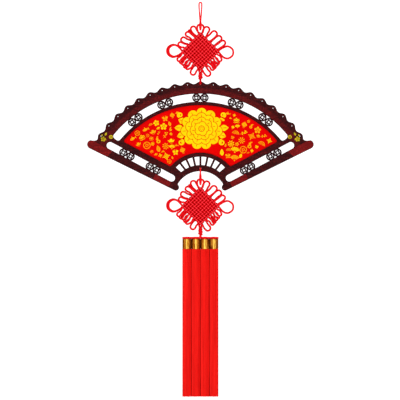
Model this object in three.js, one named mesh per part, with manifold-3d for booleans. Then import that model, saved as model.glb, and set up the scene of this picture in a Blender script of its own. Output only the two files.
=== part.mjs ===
import * as THREE from 'three';
import { mergeVertices } from 'three/addons/utils/BufferGeometryUtils.js';
import Module from 'manifold-3d';

const wasm = await Module();
wasm.setup();

// A hanging ornament of red cord, seen from the front: x to the right, y to the back, z up.
// The origin is the top of the hanging loop, and all sizes are in millimetres.

// Clearances and the coarseness of round edges
const GAP = 0.3;
const FACET = 0.4; // furthest that a straight edge strays from its round
const CORNER_STEPS = 3;

// Cords
const THIN_CORD = 1.3; // radius of the hanging loop and the links
const KNOT_CORD = 2.35; // radius of the cord that the knots are tied from
const CORD_SIDES = 5;

// Woven knots: a square of crossing strands, hung by one corner
const STRANDS = 10;
const KNOT_HALF_DIAGONAL = 51.5;
const STRAND_PITCH = (KNOT_HALF_DIAGONAL * Math.SQRT2) / STRANDS;
const RIDGE_HEIGHT = 5; // from the knot's middle plane to the back of a strand
const VALLEY_HEIGHT = 2.7;
const RIDGE_REACH = 0.3; // half of a ridge's length, in strand pitches
const ROOT_DEPTH = 3.5; // how far a loop's ends reach into the woven square
const UPPER_KNOT_Z = -132;
const LOWER_KNOT_Z = -541.7;

// Button knots, below each woven square
const BUTTON = { top: -60.5, upperLength: 13, lowerLength: 15.5, radius: 5.1, ridges: 4, ridgeDepth: 0.1 };
const BUTTON_SIDES = { around: 12, down: 8 };
const TAIL_STEPS = 4;

// Thin cords: how far from the middle of a hole a cord passes the face of the wood and leaves it, and how
// deep it dips under a knot's top ear
const THROUGH_HOLE = { near: 2.4, away: 9.4, sink: 0.2 };
const UNDER_EAR = { share: 0.75, sag: 0.2 };
const TIE = { inside: 3, halfWidth: 1.4, steps: 20 };
const LINK = { pinchOut: 1.9, pinchDown: [19, 23], steps: 32 };

// One leg of the hanging loop, from its top: sideways, forwards and down
const LOOP_LEG = [
  { side: 3.4, front: 0, down: 3.2 },
  { side: 4.6, front: 0, down: 9 },
  { side: 3.6, front: 0, down: 22 },
  { side: 1.8, front: 0, down: 37 },
  { side: 1.3, front: 1.3, down: 44 },
  { side: 0, front: 1.9, down: 51 },
];
const LOOP_STEPS = 36;

// Fan, measured from the centre of its rim's arcs
const FAN_Z = -540;
const FAN_THICKNESS = 9;
const SCALLOP = { count: 19, pitchDeg: 6.12, radius: 325.5, wave: 3.5, steps: 6, holeRadius: 321.4 };
const RIM_HOLE = 1.8;
const TIED_HOLE = 2.3; // radius of the two holes that cords pass through
const SIDE_TILT = 27.9; // degrees that the fan's sides fall towards the middle
const TIP = { x: 288.4, z: 161.8, radius: 11.6, fromDeg: 15, valley: 0.35 };
const KNOB = { x: 65.2, z: 48.3, radius: 8.75, toDeg: 320 };
const GUARD_TAPER = 1.7; // degrees that a guard stick's lower edge runs off its upper one
const TOP_SLOT = { inner: 275, outer: 296.4, halfSpanDeg: 52, corner: 8 };
const SIDE_SLOT = { rise: 32.3, halfWidth: 9.1, outerX: 239.4, innerX: 76.4 };
const PANEL = { topRadius: 266, sideRise: 61.1, bottomZ: 37, bottomRadius: 103 };
const PANEL_CORNER = { outer: 7, inner: 4 };
const WINDOW = { ribZ: 41.2, topZ: 42.3, topRadius: 87.2, bottomZ: 29, bottomRadius: 78.4 };
const RIB = { count: 7, pitchDeg: 12.3, width: 3.6 };
const LOWER_ARC = { z: 21.1, radius: 69.9, halfSpanDeg: 58 };
const LOWER_HOLE_Z = 99;
const LIP = 2.5; // wood that holds the panel at the front
const LEDGE = 3; // how far the lip covers the panel's edge
const PANEL_THICKNESS = 4;

// Fretwork coins, in touching pairs across the slots
const COIN = { radius: 11.3, sides: 12, halfSpacing: 10.75, recess: 0.8 };
const FRET = { square: 5.8, bar: 2.3, ringInner: 8.5, slitTaper: 0.7 };
const COIN_PAIRS_TOP_DEG = [-37.2, -19.05, 0, 19.05, 37.2];
const COIN_PAIRS_SIDE_X = [194.6, 124.9];

// Tassels in their caps, hung from a cord bar
const TASSELS = 4;
const TASSEL_PITCH = 23.8;
const BAR = { z: -625.4, radius: 2.35, bump: 0.3, halfLength: 47.6, stemTop: -618 };
const BAR_END = { rounding: 1.2, taper: 0.8 };
const STEM = { foot: 3.4, waist: 2.6, neck: 2.2 };
const CAP = { top: -628.4, bottom: -654.4, radius: 11.75, wall: 0.8, sides: 16 };
const HEAD = { top: -629.6, bottom: -645, root: 1 };
const STRAND = { radius: 1.3, rings: 3, tightPitch: 3.05, loosePitch: 3.45, end: -1046, ragged: 4 };

// Ears of a knot, four on each side: where the tip lies from the knot's centre, half the width between
// the middles of the two legs, and how far the tip leans to the front
const EARS = [
  { side: 'upperLeft', pair: 1, x: -23.8, z: 67.8, half: 6, lean: -2.7 },
  { side: 'upperLeft', pair: 2, x: -40.3, z: 50.6, half: 6, lean: 2.7 },
  { side: 'upperLeft', pair: 3, x: -53.5, z: 35.8, half: 6, lean: -2.7 },
  { side: 'upperLeft', pair: 4, x: -60.4, z: 20.9, half: 5, lean: 2.7 },
  { side: 'upperRight', pair: 1, x: 21.2, z: 67.8, half: 6, lean: -2.7 },
  { side: 'upperRight', pair: 2, x: 43.4, z: 53.5, half: 6, lean: 2.7 },
  { side: 'upperRight', pair: 3, x: 56.2, z: 41.1, half: 6, lean: -2.7 },
  { side: 'upperRight', pair: 4, x: 66.8, z: 28.3, half: 5.5, lean: 2.7 },
  { side: 'lowerLeft', pair: 1, x: -61.5, z: -27.3, half: 4.6, lean: 2.7 },
  { side: 'lowerLeft', pair: 2, x: -50.3, z: -36.8, half: 4, lean: -2.7 },
  { side: 'lowerLeft', pair: 3, x: -39.5, z: -47.4, half: 4.4, lean: 2.7 },
  { side: 'lowerLeft', pair: 4, x: -24.9, z: -63, half: 6, lean: -2.7 },
  { side: 'lowerRight', pair: 1, x: 56.7, z: -26.5, half: 4.6, lean: 2.7 },
  { side: 'lowerRight', pair: 2, x: 46.6, z: -38.9, half: 4.4, lean: -2.7 },
  { side: 'lowerRight', pair: 3, x: 37.4, z: -50.3, half: 4.6, lean: 2.7 },
  { side: 'lowerRight', pair: 4, x: 24.9, z: -66.5, half: 6, lean: -2.7 },
];
const EAR_STEPS = 8;

// The two big ears behind them, by the middle of their cord
const BIG_EARS = [
  { direction: -1, reach: 88.5, top: 18.3, bottom: -14.6, lean: -2 },
  { direction: 1, reach: 87.1, top: 13.8, bottom: -18.3, lean: -2 },
];
// Points of a big ear: share of the way out from the square's corner, and of the way up or down
const BIG_EAR_SHAPE = [
  { out: 0.28, upDown: 0.82 },
  { out: 0.6, upDown: 1 },
  { out: 0.93, upDown: 0.55 },
];
const BIG_EAR_STEPS = 14;
const TOP_EAR = { halfWidth: 8.5, middle: 62, top: 71.5 };

const radians = THREE.MathUtils.degToRad;

// Solids and their meshes
function solidOf(geometry) {
  const bare = geometry.clone();
  bare.deleteAttribute('normal');
  bare.deleteAttribute('uv');
  const merged = mergeVertices(bare, 1e-4);
  return new wasm.Manifold(new wasm.Mesh({
    numProp: 3,
    vertProperties: merged.attributes.position.array,
    triVerts: new Uint32Array(merged.index.array),
  }));
}

function geometryOf(solid) {
  const { vertProperties, triVerts } = solid.getMesh();
  const geometry = new THREE.BufferGeometry();
  geometry.setAttribute('position', new THREE.BufferAttribute(vertProperties, 3));
  geometry.setIndex(new THREE.BufferAttribute(triVerts, 1));
  geometry.computeVertexNormals();
  return geometry;
}

function joined(geometries) {
  return geometries.map(solidOf).reduce((whole, part) => whole.add(part));
}

// Outlines: a clock angle is measured from straight up, towards +x
function onCircle(x, z, radius, clockDeg) {
  const angle = radians(clockDeg);
  return new THREE.Vector2(x + radius * Math.sin(angle), z + radius * Math.cos(angle));
}

function arc(x, z, radius, fromDeg, toDeg) {
  const widest = 2 * Math.acos(1 - FACET / radius);
  const steps = Math.max(2, Math.ceil(Math.abs(radians(toDeg - fromDeg)) / widest));
  return Array.from({ length: steps + 1 }, (_, i) => (
    onCircle(x, z, radius, fromDeg + ((toDeg - fromDeg) * i) / steps)
  ));
}

function ring(x, z, radius, sides) {
  return Array.from({ length: sides }, (_, i) => onCircle(x, z, radius, (360 * i) / sides));
}

function mirrored(points) {
  return points.map((point) => new THREE.Vector2(-point.x, point.y)).reverse();
}

function shortened(edge, trim) {
  const points = edge.slice();
  let left = trim;
  while (points.length > 2 && points[0].distanceTo(points[1]) <= left) {
    left -= points[0].distanceTo(points[1]);
    points.shift();
  }
  const share = left / points[0].distanceTo(points[1]);
  points[0] = points[0].clone().lerp(points[1], share);
  return points;
}

// An outline from edges that meet at sharp corners, each corner rounded over the same stretch on both sides
function roundedOutline(edges, corners) {
  const cut = edges.map((edge, i) => {
    const start = shortened(edge, corners[i]);
    const end = shortened(start.reverse(), corners[(i + 1) % edges.length]);
    return end.reverse();
  });
  return cut.flatMap((edge, i) => {
    const next = cut[(i + 1) % cut.length];
    const bend = new THREE.QuadraticBezierCurve(edge.at(-1), edges[i].at(-1), next[0]);
    return [...edge, ...bend.getPoints(CORNER_STEPS).slice(1, -1)];
  });
}

// A board in the fan's plane, from y = back - thickness to y = back; its outline is given clockwise
function board(outline, holes, thickness, back) {
  const shape = new THREE.Shape(outline.slice().reverse());
  shape.holes = holes.map((points) => new THREE.Path(points));
  const geometry = new THREE.ExtrudeGeometry(shape, { depth: thickness, bevelEnabled: false });
  geometry.rotateX(Math.PI / 2);
  geometry.translate(0, back, 0);
  return geometry;
}

// Cords: a tube with closed ends, and one that runs round into itself
function cord(points, radius, steps) {
  const section = new THREE.Shape(ring(0, 0, radius, CORD_SIDES));
  const extrudePath = new THREE.CatmullRomCurve3(points, false, 'centripetal');
  return new THREE.ExtrudeGeometry(section, { steps, bevelEnabled: false, extrudePath });
}

function cordRing(points, radius, steps) {
  const path = new THREE.CatmullRomCurve3(points, true, 'centripetal');
  return new THREE.TubeGeometry(path, steps, radius, CORD_SIDES, true);
}

// The woven square: its strands run down-right and down-left from the top corner
const DOWN_RIGHT = new THREE.Vector3(Math.SQRT1_2, 0, -Math.SQRT1_2);
const DOWN_LEFT = new THREE.Vector3(-Math.SQRT1_2, 0, -Math.SQRT1_2);

function weavePoint(right, left, y = 0) {
  return new THREE.Vector3(0, y, KNOT_HALF_DIAGONAL)
    .addScaledVector(DOWN_RIGHT, right * STRAND_PITCH)
    .addScaledVector(DOWN_LEFT, left * STRAND_PITCH);
}

// One face of the woven square, with a ridge on the strand that passes on top at each crossing
function addWeaveFace(vertices, triangles, front) {
  const side = front ? -1 : 1;
  const first = vertices.length;
  const corner = (right, left) => first + right * (STRANDS + 1) + left;
  for (let right = 0; right <= STRANDS; right += 1) {
    for (let left = 0; left <= STRANDS; left += 1) {
      vertices.push(weavePoint(right, left, side * VALLEY_HEIGHT));
    }
  }
  const face = (a, b, c) => triangles.push(front ? [a, b, c] : [a, c, b]);
  for (let right = 0; right < STRANDS; right += 1) {
    for (let left = 0; left < STRANDS; left += 1) {
      const top = corner(right, left);
      const around = [top, corner(right, left + 1), corner(right + 1, left + 1), corner(right + 1, left)];
      const alongRight = ((right + left) % 2 === 0) === front;
      if (!alongRight) around.unshift(around.pop());
      const reach = alongRight ? [RIDGE_REACH, 0] : [0, RIDGE_REACH];
      const start = vertices.length;
      for (const end of [-1, 1]) {
        const ridge = [right + 0.5 + end * reach[0], left + 0.5 + end * reach[1]];
        vertices.push(weavePoint(ridge[0], ridge[1], side * RIDGE_HEIGHT));
      }
      const [q0, q1, q2, q3] = around;
      face(q0, q1, start);
      face(q1, q2, start + 1);
      face(q1, start + 1, start);
      face(q2, q3, start + 1);
      face(q3, q0, start);
      face(q3, start, start + 1);
    }
  }
  return corner;
}

function wovenSquare() {
  const vertices = [];
  const triangles = [];
  const front = addWeaveFace(vertices, triangles, true);
  const back = addWeaveFace(vertices, triangles, false);
  for (let i = 0; i < STRANDS; i += 1) {
    const edges = [
      [[i, 0], [i + 1, 0]],
      [[STRANDS, i], [STRANDS, i + 1]],
      [[i + 1, STRANDS], [i, STRANDS]],
      [[0, i + 1], [0, i]],
    ];
    for (const [from, to] of edges) {
      triangles.push([front(...from), front(...to), back(...to)]);
      triangles.push([front(...from), back(...to), back(...from)]);
    }
  }
  const geometry = new THREE.BufferGeometry();
  const flat = vertices.flatMap((vertex) => vertex.toArray());
  geometry.setAttribute('position', new THREE.Float32BufferAttribute(flat, 3));
  geometry.setIndex(triangles.flat());
  return geometry;
}

// Where strand number n leaves a side of the square, and the way it points there
const SIDES = {
  upperLeft: { out: DOWN_RIGHT.clone().negate(), end: (n) => weavePoint(0, n - 0.5) },
  upperRight: { out: DOWN_LEFT.clone().negate(), end: (n) => weavePoint(n - 0.5, 0) },
  lowerLeft: { out: DOWN_LEFT, end: (n) => weavePoint(n - 0.5, STRANDS) },
  lowerRight: { out: DOWN_RIGHT, end: (n) => weavePoint(STRANDS, n - 0.5) },
};

function legOf(side, strand) {
  const { out, end } = SIDES[side];
  const point = end(strand);
  return [point.clone().addScaledVector(out, -ROOT_DEPTH), point.clone().addScaledVector(out, KNOT_CORD)];
}

function ear({ side, pair, x, z, half, lean }) {
  const first = legOf(side, 2 * pair);
  const second = legOf(side, 2 * pair + 1);
  const middle = first[1].clone().lerp(second[1], 0.5);
  const outward = new THREE.Vector3(x, 0, z).sub(middle).normalize();
  const across = second[1].clone().sub(first[1]);
  across.addScaledVector(outward, -across.dot(outward)).normalize();
  const tip = new THREE.Vector3(x, -lean, z).addScaledVector(outward, -KNOT_CORD);
  const shoulder = tip.clone().addScaledVector(outward, -half);
  return cord([
    ...first,
    shoulder.clone().addScaledVector(across, -half),
    tip,
    shoulder.clone().addScaledVector(across, half),
    ...second.reverse(),
  ], KNOT_CORD, EAR_STEPS);
}

function bigEar({ direction, reach, top, bottom, lean }) {
  const upper = direction < 0 ? legOf('upperLeft', STRANDS) : legOf('upperRight', STRANDS);
  const lower = direction < 0 ? legOf('lowerLeft', 1) : legOf('lowerRight', 1);
  const middle = (top + bottom) / 2;
  const at = (out, z) => {
    const x = KNOT_HALF_DIAGONAL + (reach - KNOT_HALF_DIAGONAL) * out;
    return new THREE.Vector3(direction * x, -lean, z);
  };
  const way = (limit) => BIG_EAR_SHAPE.map(({ out, upDown }) => at(out, middle + (limit - middle) * upDown));
  return cord([
    ...upper,
    ...way(top),
    at(1, middle),
    ...way(bottom).reverse(),
    ...lower.reverse(),
  ], KNOT_CORD, BIG_EAR_STEPS);
}

function topEar() {
  const { halfWidth, middle, top } = TOP_EAR;
  return cord([
    ...legOf('upperLeft', 1),
    new THREE.Vector3(-halfWidth, 0, middle),
    new THREE.Vector3(0, 0, top),
    new THREE.Vector3(halfWidth, 0, middle),
    ...legOf('upperRight', 1).reverse(),
  ], KNOT_CORD, EAR_STEPS + 2);
}

// The two cord ends that leave the bottom corner and enter the button knot
function tails() {
  return [-1, 1].map((side) => cord([
    new THREE.Vector3(side * KNOT_CORD, 0, ROOT_DEPTH - KNOT_HALF_DIAGONAL),
    new THREE.Vector3(side * (KNOT_CORD + GAP), 0, (BUTTON.top - KNOT_HALF_DIAGONAL) / 2),
    new THREE.Vector3(side * (BUTTON.radius - KNOT_CORD) / 2, 0, BUTTON.top - ROOT_DEPTH),
  ], KNOT_CORD, TAIL_STEPS));
}

// A button knot, as a rounded form with slanting ridges
function buttonKnot(length) {
  const geometry = new THREE.SphereGeometry(1, BUTTON_SIDES.around, BUTTON_SIDES.down);
  geometry.rotateX(Math.PI / 2);
  const { position } = geometry.attributes;
  const point = new THREE.Vector3();
  for (let i = 0; i < position.count; i += 1) {
    point.fromBufferAttribute(position, i);
    const turn = Math.atan2(point.y, point.x);
    const around = Math.hypot(point.x, point.y);
    const swell = 1 + BUTTON.ridgeDepth * around * Math.cos(BUTTON.ridges * turn + 2 * Math.PI * point.z);
    position.setXYZ(
      i,
      point.x * swell * BUTTON.radius,
      point.y * swell * BUTTON.radius,
      BUTTON.top + (point.z - 1) * (length / 2),
    );
  }
  return geometry;
}

function knot(buttonLength) {
  const loops = [...EARS.map(ear), ...BIG_EARS.map(bigEar), topEar(), ...tails()];
  return joined([wovenSquare(), ...loops, buttonKnot(buttonLength)]);
}

// The way of a thin cord through a hole in the fan, from one face of the wood round to the other
function throughHole(z, towards) {
  const face = FAN_THICKNESS / 2;
  const clear = face + THIN_CORD + 1.5 * GAP;
  const half = [
    [clear, z + towards * THROUGH_HOLE.away],
    [clear, z + towards * THROUGH_HOLE.near],
    [face + THROUGH_HOLE.sink, z],
  ];
  return [
    ...half.map(([y, height]) => new THREE.Vector3(0, -y, height)),
    ...half.reverse().map(([y, height]) => new THREE.Vector3(0, y, height)),
  ];
}

// The way of a thin cord round under the top ear of a knot, from the front to the back
function underEar(knotZ) {
  const z = knotZ + TOP_EAR.top;
  const clear = KNOT_CORD + THIN_CORD + 1.5 * GAP;
  const slant = UNDER_EAR.share * clear;
  const way = [[-clear, 0], [-slant, slant], [0, clear + UNDER_EAR.sag], [slant, slant], [clear, 0]];
  return way.map(([y, down]) => new THREE.Vector3(0, y, z - down));
}

function upperKnot() {
  const buttonBottom = BUTTON.top - BUTTON.upperLength;
  const holeZ = FAN_Z + SCALLOP.holeRadius - UPPER_KNOT_Z;
  const tie = cordRing([
    new THREE.Vector3(0, 0, buttonBottom + TIE.inside),
    new THREE.Vector3(0, -TIE.halfWidth, buttonBottom),
    ...throughHole(holeZ, 1),
    new THREE.Vector3(0, TIE.halfWidth, buttonBottom),
  ], THIN_CORD, TIE.steps);
  return knot(BUTTON.upperLength).add(solidOf(tie));
}

function hangingLoop() {
  const leg = (hand) => LOOP_LEG.map(({ side, front, down }) => (
    new THREE.Vector3(hand * side, -hand * front, -down)
  ));
  const top = new THREE.Vector3(0, 0, -THIN_CORD);
  return cordRing([top, ...leg(1), ...underEar(UPPER_KNOT_Z), ...leg(-1).reverse()], THIN_CORD, LOOP_STEPS);
}

function linkCord() {
  const holeZ = FAN_Z + LOWER_HOLE_Z;
  const pinch = LINK.pinchDown.map((down) => new THREE.Vector3(0, -LINK.pinchOut, holeZ - down));
  const otherPinch = pinch.map((point) => new THREE.Vector3(0, -point.y, point.z)).reverse();
  const around = throughHole(holeZ, -1).reverse();
  return cordRing([...around, ...pinch, ...underEar(LOWER_KNOT_Z), ...otherPinch], THIN_CORD, LINK.steps);
}

// Fan board
function fanOutline() {
  const halfSpan = (SCALLOP.pitchDeg * (SCALLOP.count - 0.5)) / 2;
  const steps = Math.round((2 * halfSpan * SCALLOP.steps) / SCALLOP.pitchDeg);
  const rim = Array.from({ length: steps + 1 }, (_, i) => {
    const clockDeg = halfSpan * ((2 * i) / steps - 1);
    const wave = SCALLOP.wave * Math.cos((2 * Math.PI * clockDeg) / SCALLOP.pitchDeg);
    return onCircle(0, 0, SCALLOP.radius + wave, clockDeg);
  });
  const lowerEdgeDeg = 180 - SIDE_TILT + GUARD_TAPER;
  const tip = arc(TIP.x, TIP.z, TIP.radius, TIP.fromDeg, lowerEdgeDeg);
  const rimEnd = rim.at(-1);
  const valley = new THREE.QuadraticBezierCurve(
    rimEnd,
    new THREE.Vector2(rimEnd.x, tip[0].y - TIP.radius * TIP.valley),
    tip[0],
  );
  const knob = arc(KNOB.x, KNOB.z, KNOB.radius, lowerEdgeDeg, KNOB.toDeg);
  const right = [...valley.getPoints(CORNER_STEPS).slice(1, -1), ...tip, ...knob];
  const lower = arc(0, LOWER_ARC.z, LOWER_ARC.radius, LOWER_ARC.halfSpanDeg, -LOWER_ARC.halfSpanDeg);
  return [...rim, ...right, ...lower, ...mirrored(right)];
}

// Where an arc about the middle line meets the panel's slanting side
function sideMeetsArc(arcZ, radius, rise) {
  const slope = Math.tan(radians(SIDE_TILT));
  const a = 1 + slope ** 2;
  const b = 2 * slope * (rise - arcZ);
  const c = (rise - arcZ) ** 2 - radius ** 2;
  const x = (Math.sqrt(b ** 2 - 4 * a * c) - b) / (2 * a);
  return new THREE.Vector2(x, rise + slope * x);
}

function panelOutline(grow) {
  const topRadius = PANEL.topRadius + grow;
  const bottomRadius = PANEL.bottomRadius - grow;
  const rise = PANEL.sideRise - grow / Math.cos(radians(SIDE_TILT));
  const outer = sideMeetsArc(0, topRadius, rise);
  const inner = sideMeetsArc(PANEL.bottomZ, bottomRadius, rise);
  const topDeg = THREE.MathUtils.radToDeg(Math.asin(outer.x / topRadius));
  const bottomDeg = THREE.MathUtils.radToDeg(Math.asin(inner.x / bottomRadius));
  return roundedOutline([
    arc(0, 0, topRadius, -topDeg, topDeg),
    [outer, inner],
    arc(0, PANEL.bottomZ, bottomRadius, bottomDeg, -bottomDeg),
    mirrored([outer, inner]),
  ], [PANEL_CORNER.outer, PANEL_CORNER.outer, PANEL_CORNER.inner, PANEL_CORNER.inner]);
}

function topSlot() {
  const { inner, outer, halfSpanDeg, corner } = TOP_SLOT;
  const above = arc(0, 0, outer, -halfSpanDeg, halfSpanDeg);
  const below = arc(0, 0, inner, halfSpanDeg, -halfSpanDeg);
  const edges = [above, [above.at(-1), below[0]], below, [below.at(-1), above[0]]];
  return roundedOutline(edges, [corner, corner, corner, corner]);
}

function sideSlotPoint(x) {
  return new THREE.Vector2(x, SIDE_SLOT.rise + x * Math.tan(radians(SIDE_TILT)));
}

function sideSlot() {
  const outer = sideSlotPoint(SIDE_SLOT.outerX);
  const inner = sideSlotPoint(SIDE_SLOT.innerX);
  return [
    ...arc(outer.x, outer.y, SIDE_SLOT.halfWidth, -SIDE_TILT, 180 - SIDE_TILT),
    ...arc(inner.x, inner.y, SIDE_SLOT.halfWidth, 180 - SIDE_TILT, 360 - SIDE_TILT),
  ];
}

// The point of an arc that lies beside a rib, off its middle line
function besideRib(ribDeg, off, arcZ, radius) {
  const along = new THREE.Vector2(Math.sin(radians(ribDeg)), Math.cos(radians(ribDeg)));
  const start = new THREE.Vector2(off * along.y, WINDOW.ribZ - arcZ - off * along.x);
  const near = start.dot(along);
  const distance = Math.sqrt(near ** 2 - start.lengthSq() + radius ** 2) - near;
  return start.addScaledVector(along, distance).add(new THREE.Vector2(0, arcZ));
}

function windowBetween(leftDeg, rightDeg) {
  const middleDeg = (leftDeg + rightDeg) / 2;
  const places = [[leftDeg, RIB.width / 2], [middleDeg, 0], [rightDeg, -RIB.width / 2]];
  const top = places.map(([deg, off]) => besideRib(deg, off, WINDOW.topZ, WINDOW.topRadius));
  const bottom = places.map(([deg, off]) => besideRib(deg, off, WINDOW.bottomZ, WINDOW.bottomRadius));
  return [...top, ...bottom.reverse()];
}

function coin(x, z, turnDeg) {
  const { radius, sides, recess } = COIN;
  const { square, bar, ringInner, slitTaper } = FRET;
  const half = square / 2;
  const hole = [[-half, -half], [half, -half], [half, half], [-half, half]];
  const chord = half + bar;
  const chordHalf = chord - bar / 2;
  const archHalf = chordHalf * slitTaper;
  const arch = Math.sqrt(ringInner ** 2 - archHalf ** 2);
  const slit = [[-chordHalf, chord], [chordHalf, chord], [archHalf, arch], [-archHalf, arch]];
  const turned = (points, deg) => points.map(([px, pz]) => (
    new THREE.Vector2(px, pz).rotateAround(new THREE.Vector2(), radians(deg)).add(new THREE.Vector2(x, z))
  ));
  const slits = [0, 90, 180, 270].map((deg) => turned(slit, deg - turnDeg));
  const disc = ring(x, z, radius, sides).map((point) => (
    point.rotateAround(new THREE.Vector2(x, z), radians(-turnDeg))
  ));
  const holes = [turned(hole, -turnDeg), ...slits];
  return board(disc, holes, FAN_THICKNESS - 2 * recess, FAN_THICKNESS / 2 - recess);
}

function coins() {
  const halfDeg = THREE.MathUtils.radToDeg((2 * COIN.halfSpacing) / (TOP_SLOT.inner + TOP_SLOT.outer));
  const middle = (TOP_SLOT.inner + TOP_SLOT.outer) / 2;
  const top = COIN_PAIRS_TOP_DEG.flatMap((pairDeg) => [-1, 1].map((side) => {
    const clockDeg = pairDeg + side * halfDeg;
    const centre = onCircle(0, 0, middle, clockDeg);
    return coin(centre.x, centre.y, clockDeg);
  }));
  const step = COIN.halfSpacing * Math.cos(radians(SIDE_TILT));
  const sides = COIN_PAIRS_SIDE_X.flatMap((pairX) => [-step, step].flatMap((offset) => {
    const centre = sideSlotPoint(pairX + offset);
    return [coin(centre.x, centre.y, -SIDE_TILT), coin(-centre.x, centre.y, SIDE_TILT)];
  }));
  return [...top, ...sides];
}

function fanFrame() {
  const middle = (SCALLOP.count - 1) / 2;
  const rimHoles = Array.from({ length: SCALLOP.count }, (_, i) => {
    const centre = onCircle(0, 0, SCALLOP.holeRadius, (i - middle) * SCALLOP.pitchDeg);
    return i === middle ? ring(centre.x, centre.y, TIED_HOLE, 8) : ring(centre.x, centre.y, RIM_HOLE, 6);
  });
  const lastRib = (RIB.count + 1) / 2;
  const windows = Array.from({ length: RIB.count + 1 }, (_, i) => (
    windowBetween((i - lastRib) * RIB.pitchDeg, (i + 1 - lastRib) * RIB.pitchDeg)
  ));
  const slots = [topSlot(), sideSlot(), mirrored(sideSlot())];
  const holes = [...rimHoles, ...windows, ...slots, panelOutline(0), ring(0, LOWER_HOLE_Z, TIED_HOLE, 8)];
  const back = FAN_THICKNESS / 2;
  const plate = joined([board(fanOutline(), holes, FAN_THICKNESS, back), ...coins()]);
  return plate.subtract(solidOf(board(panelOutline(LEDGE), [], FAN_THICKNESS, back + LIP)));
}

function fanPanel() {
  const front = LIP + GAP - FAN_THICKNESS / 2;
  return board(panelOutline(LEDGE - GAP), [], PANEL_THICKNESS, front + PANEL_THICKNESS);
}

// Cord bar over the caps, a little thicker over each cap, with a stem up to the button knot
function tasselBar() {
  const { radius, bump, halfLength, stemTop, z } = BAR;
  const steps = 2 * TASSELS;
  const profile = [new THREE.Vector2(0, -halfLength)];
  for (let i = 0; i <= steps; i += 1) {
    const along = ((2 * i) / steps - 1) * (halfLength - BAR_END.rounding);
    const swell = bump * Math.cos((2 * Math.PI * (along - TASSEL_PITCH / 2)) / TASSEL_PITCH);
    const taper = i === 0 || i === steps ? BAR_END.taper : 1;
    profile.push(new THREE.Vector2((radius + swell) * taper, along));
  }
  profile.push(new THREE.Vector2(0, halfLength));
  const rod = new THREE.LatheGeometry(profile, CORD_SIDES + 2);
  rod.rotateZ(Math.PI / 2);
  const stem = new THREE.LatheGeometry([
    new THREE.Vector2(0, -radius / 2),
    new THREE.Vector2(STEM.foot, -radius / 2),
    new THREE.Vector2(STEM.waist, radius),
    new THREE.Vector2(STEM.neck, stemTop - GAP - z),
    new THREE.Vector2(0, stemTop - GAP - z),
  ], CORD_SIDES + 2);
  stem.rotateX(Math.PI / 2);
  return joined([rod, stem]);
}

function tasselCap() {
  const { top, bottom, radius, wall, sides } = CAP;
  const chamfer = wall / 2;
  const cap = new THREE.LatheGeometry([
    new THREE.Vector2(0, top - wall),
    new THREE.Vector2(radius - wall, top - wall),
    new THREE.Vector2(radius - wall, bottom),
    new THREE.Vector2(radius, bottom),
    new THREE.Vector2(radius, top - chamfer),
    new THREE.Vector2(radius - chamfer, top),
    new THREE.Vector2(0, top),
  ], sides);
  cap.rotateX(Math.PI / 2);
  return cap;
}

// One tassel strand, three-sided, from the head down to its loose end, spreading a little on the way
function strand(across, deep, number) {
  const { radius, tightPitch, loosePitch, end, ragged } = STRAND;
  const section = new THREE.Shape(ring(0, 0, radius, 3).reverse());
  const geometry = new THREE.ExtrudeGeometry(section, { depth: 1, bevelEnabled: false });
  const { position } = geometry.attributes;
  const levels = [
    { z: end + (ragged * ((number * 5) % 9)) / 9, pitch: loosePitch },
    { z: HEAD.bottom + HEAD.root, pitch: tightPitch },
  ];
  for (let i = 0; i < position.count; i += 1) {
    const { z, pitch } = levels[Math.round(position.getZ(i))];
    position.setXYZ(i, position.getX(i) + across * pitch, position.getY(i) + deep * pitch, z);
  }
  return geometry;
}

// Strands stand in rings of 1, 6, 12 and 18 on an even triangular net
function tassel() {
  const { rings } = STRAND;
  const places = [];
  for (let row = -rings; row <= rings; row += 1) {
    for (let place = -rings; place <= rings; place += 1) {
      if (Math.abs(row + place) <= rings) {
        places.push([place + row / 2, (row * Math.sqrt(3)) / 2]);
      }
    }
  }
  const headRadius = CAP.radius - CAP.wall - GAP;
  const head = new THREE.CylinderGeometry(headRadius, headRadius, HEAD.top - HEAD.bottom, CAP.sides);
  head.rotateX(Math.PI / 2);
  head.translate(0, 0, (HEAD.top + HEAD.bottom) / 2);
  return joined([head, ...places.map(([across, deep], number) => strand(across, deep, number))]);
}

// Materials
function material(color, roughness, metalness = 0) {
  return new THREE.MeshStandardMaterial({ color, roughness, metalness });
}

const redCord = material(0xe01420, 0.55);
const wood = material(0x4a1216, 0.5);
const redPanel = material(0xe60808, 0.35);
const brass = material(0xc89632, 0.3, 0.9);
const redThread = material(0xe01c18, 0.6);

// Assembly
const group = new THREE.Group();

function add(name, shape, look, x = 0, z = 0) {
  const geometry = shape instanceof THREE.BufferGeometry ? shape : geometryOf(shape);
  const mesh = new THREE.Mesh(geometry, look);
  mesh.name = name;
  mesh.position.set(x, 0, z);
  group.add(mesh);
}

add('hanging_loop', hangingLoop(), redCord);
add('upper_knot', upperKnot(), redCord, 0, UPPER_KNOT_Z);
add('fan_frame', fanFrame(), wood, 0, FAN_Z);
add('fan_panel', fanPanel(), redPanel, 0, FAN_Z);
add('link_cord', linkCord(), redCord);
add('lower_knot', knot(BUTTON.lowerLength), redCord, 0, LOWER_KNOT_Z);
add('tassel_bar', tasselBar(), redCord, 0, BAR.z);
for (let i = 0; i < TASSELS; i += 1) {
  const x = (i - (TASSELS - 1) / 2) * TASSEL_PITCH;
  add(`tassel_cap_${i + 1}`, tasselCap(), brass, x);
  add(`tassel_${i + 1}`, tassel(), redThread, x);
}

export default group;
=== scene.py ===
import math
import random

import bpy
import numpy as np
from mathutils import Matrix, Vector
from mathutils.geometry import tessellate_polygon


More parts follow.
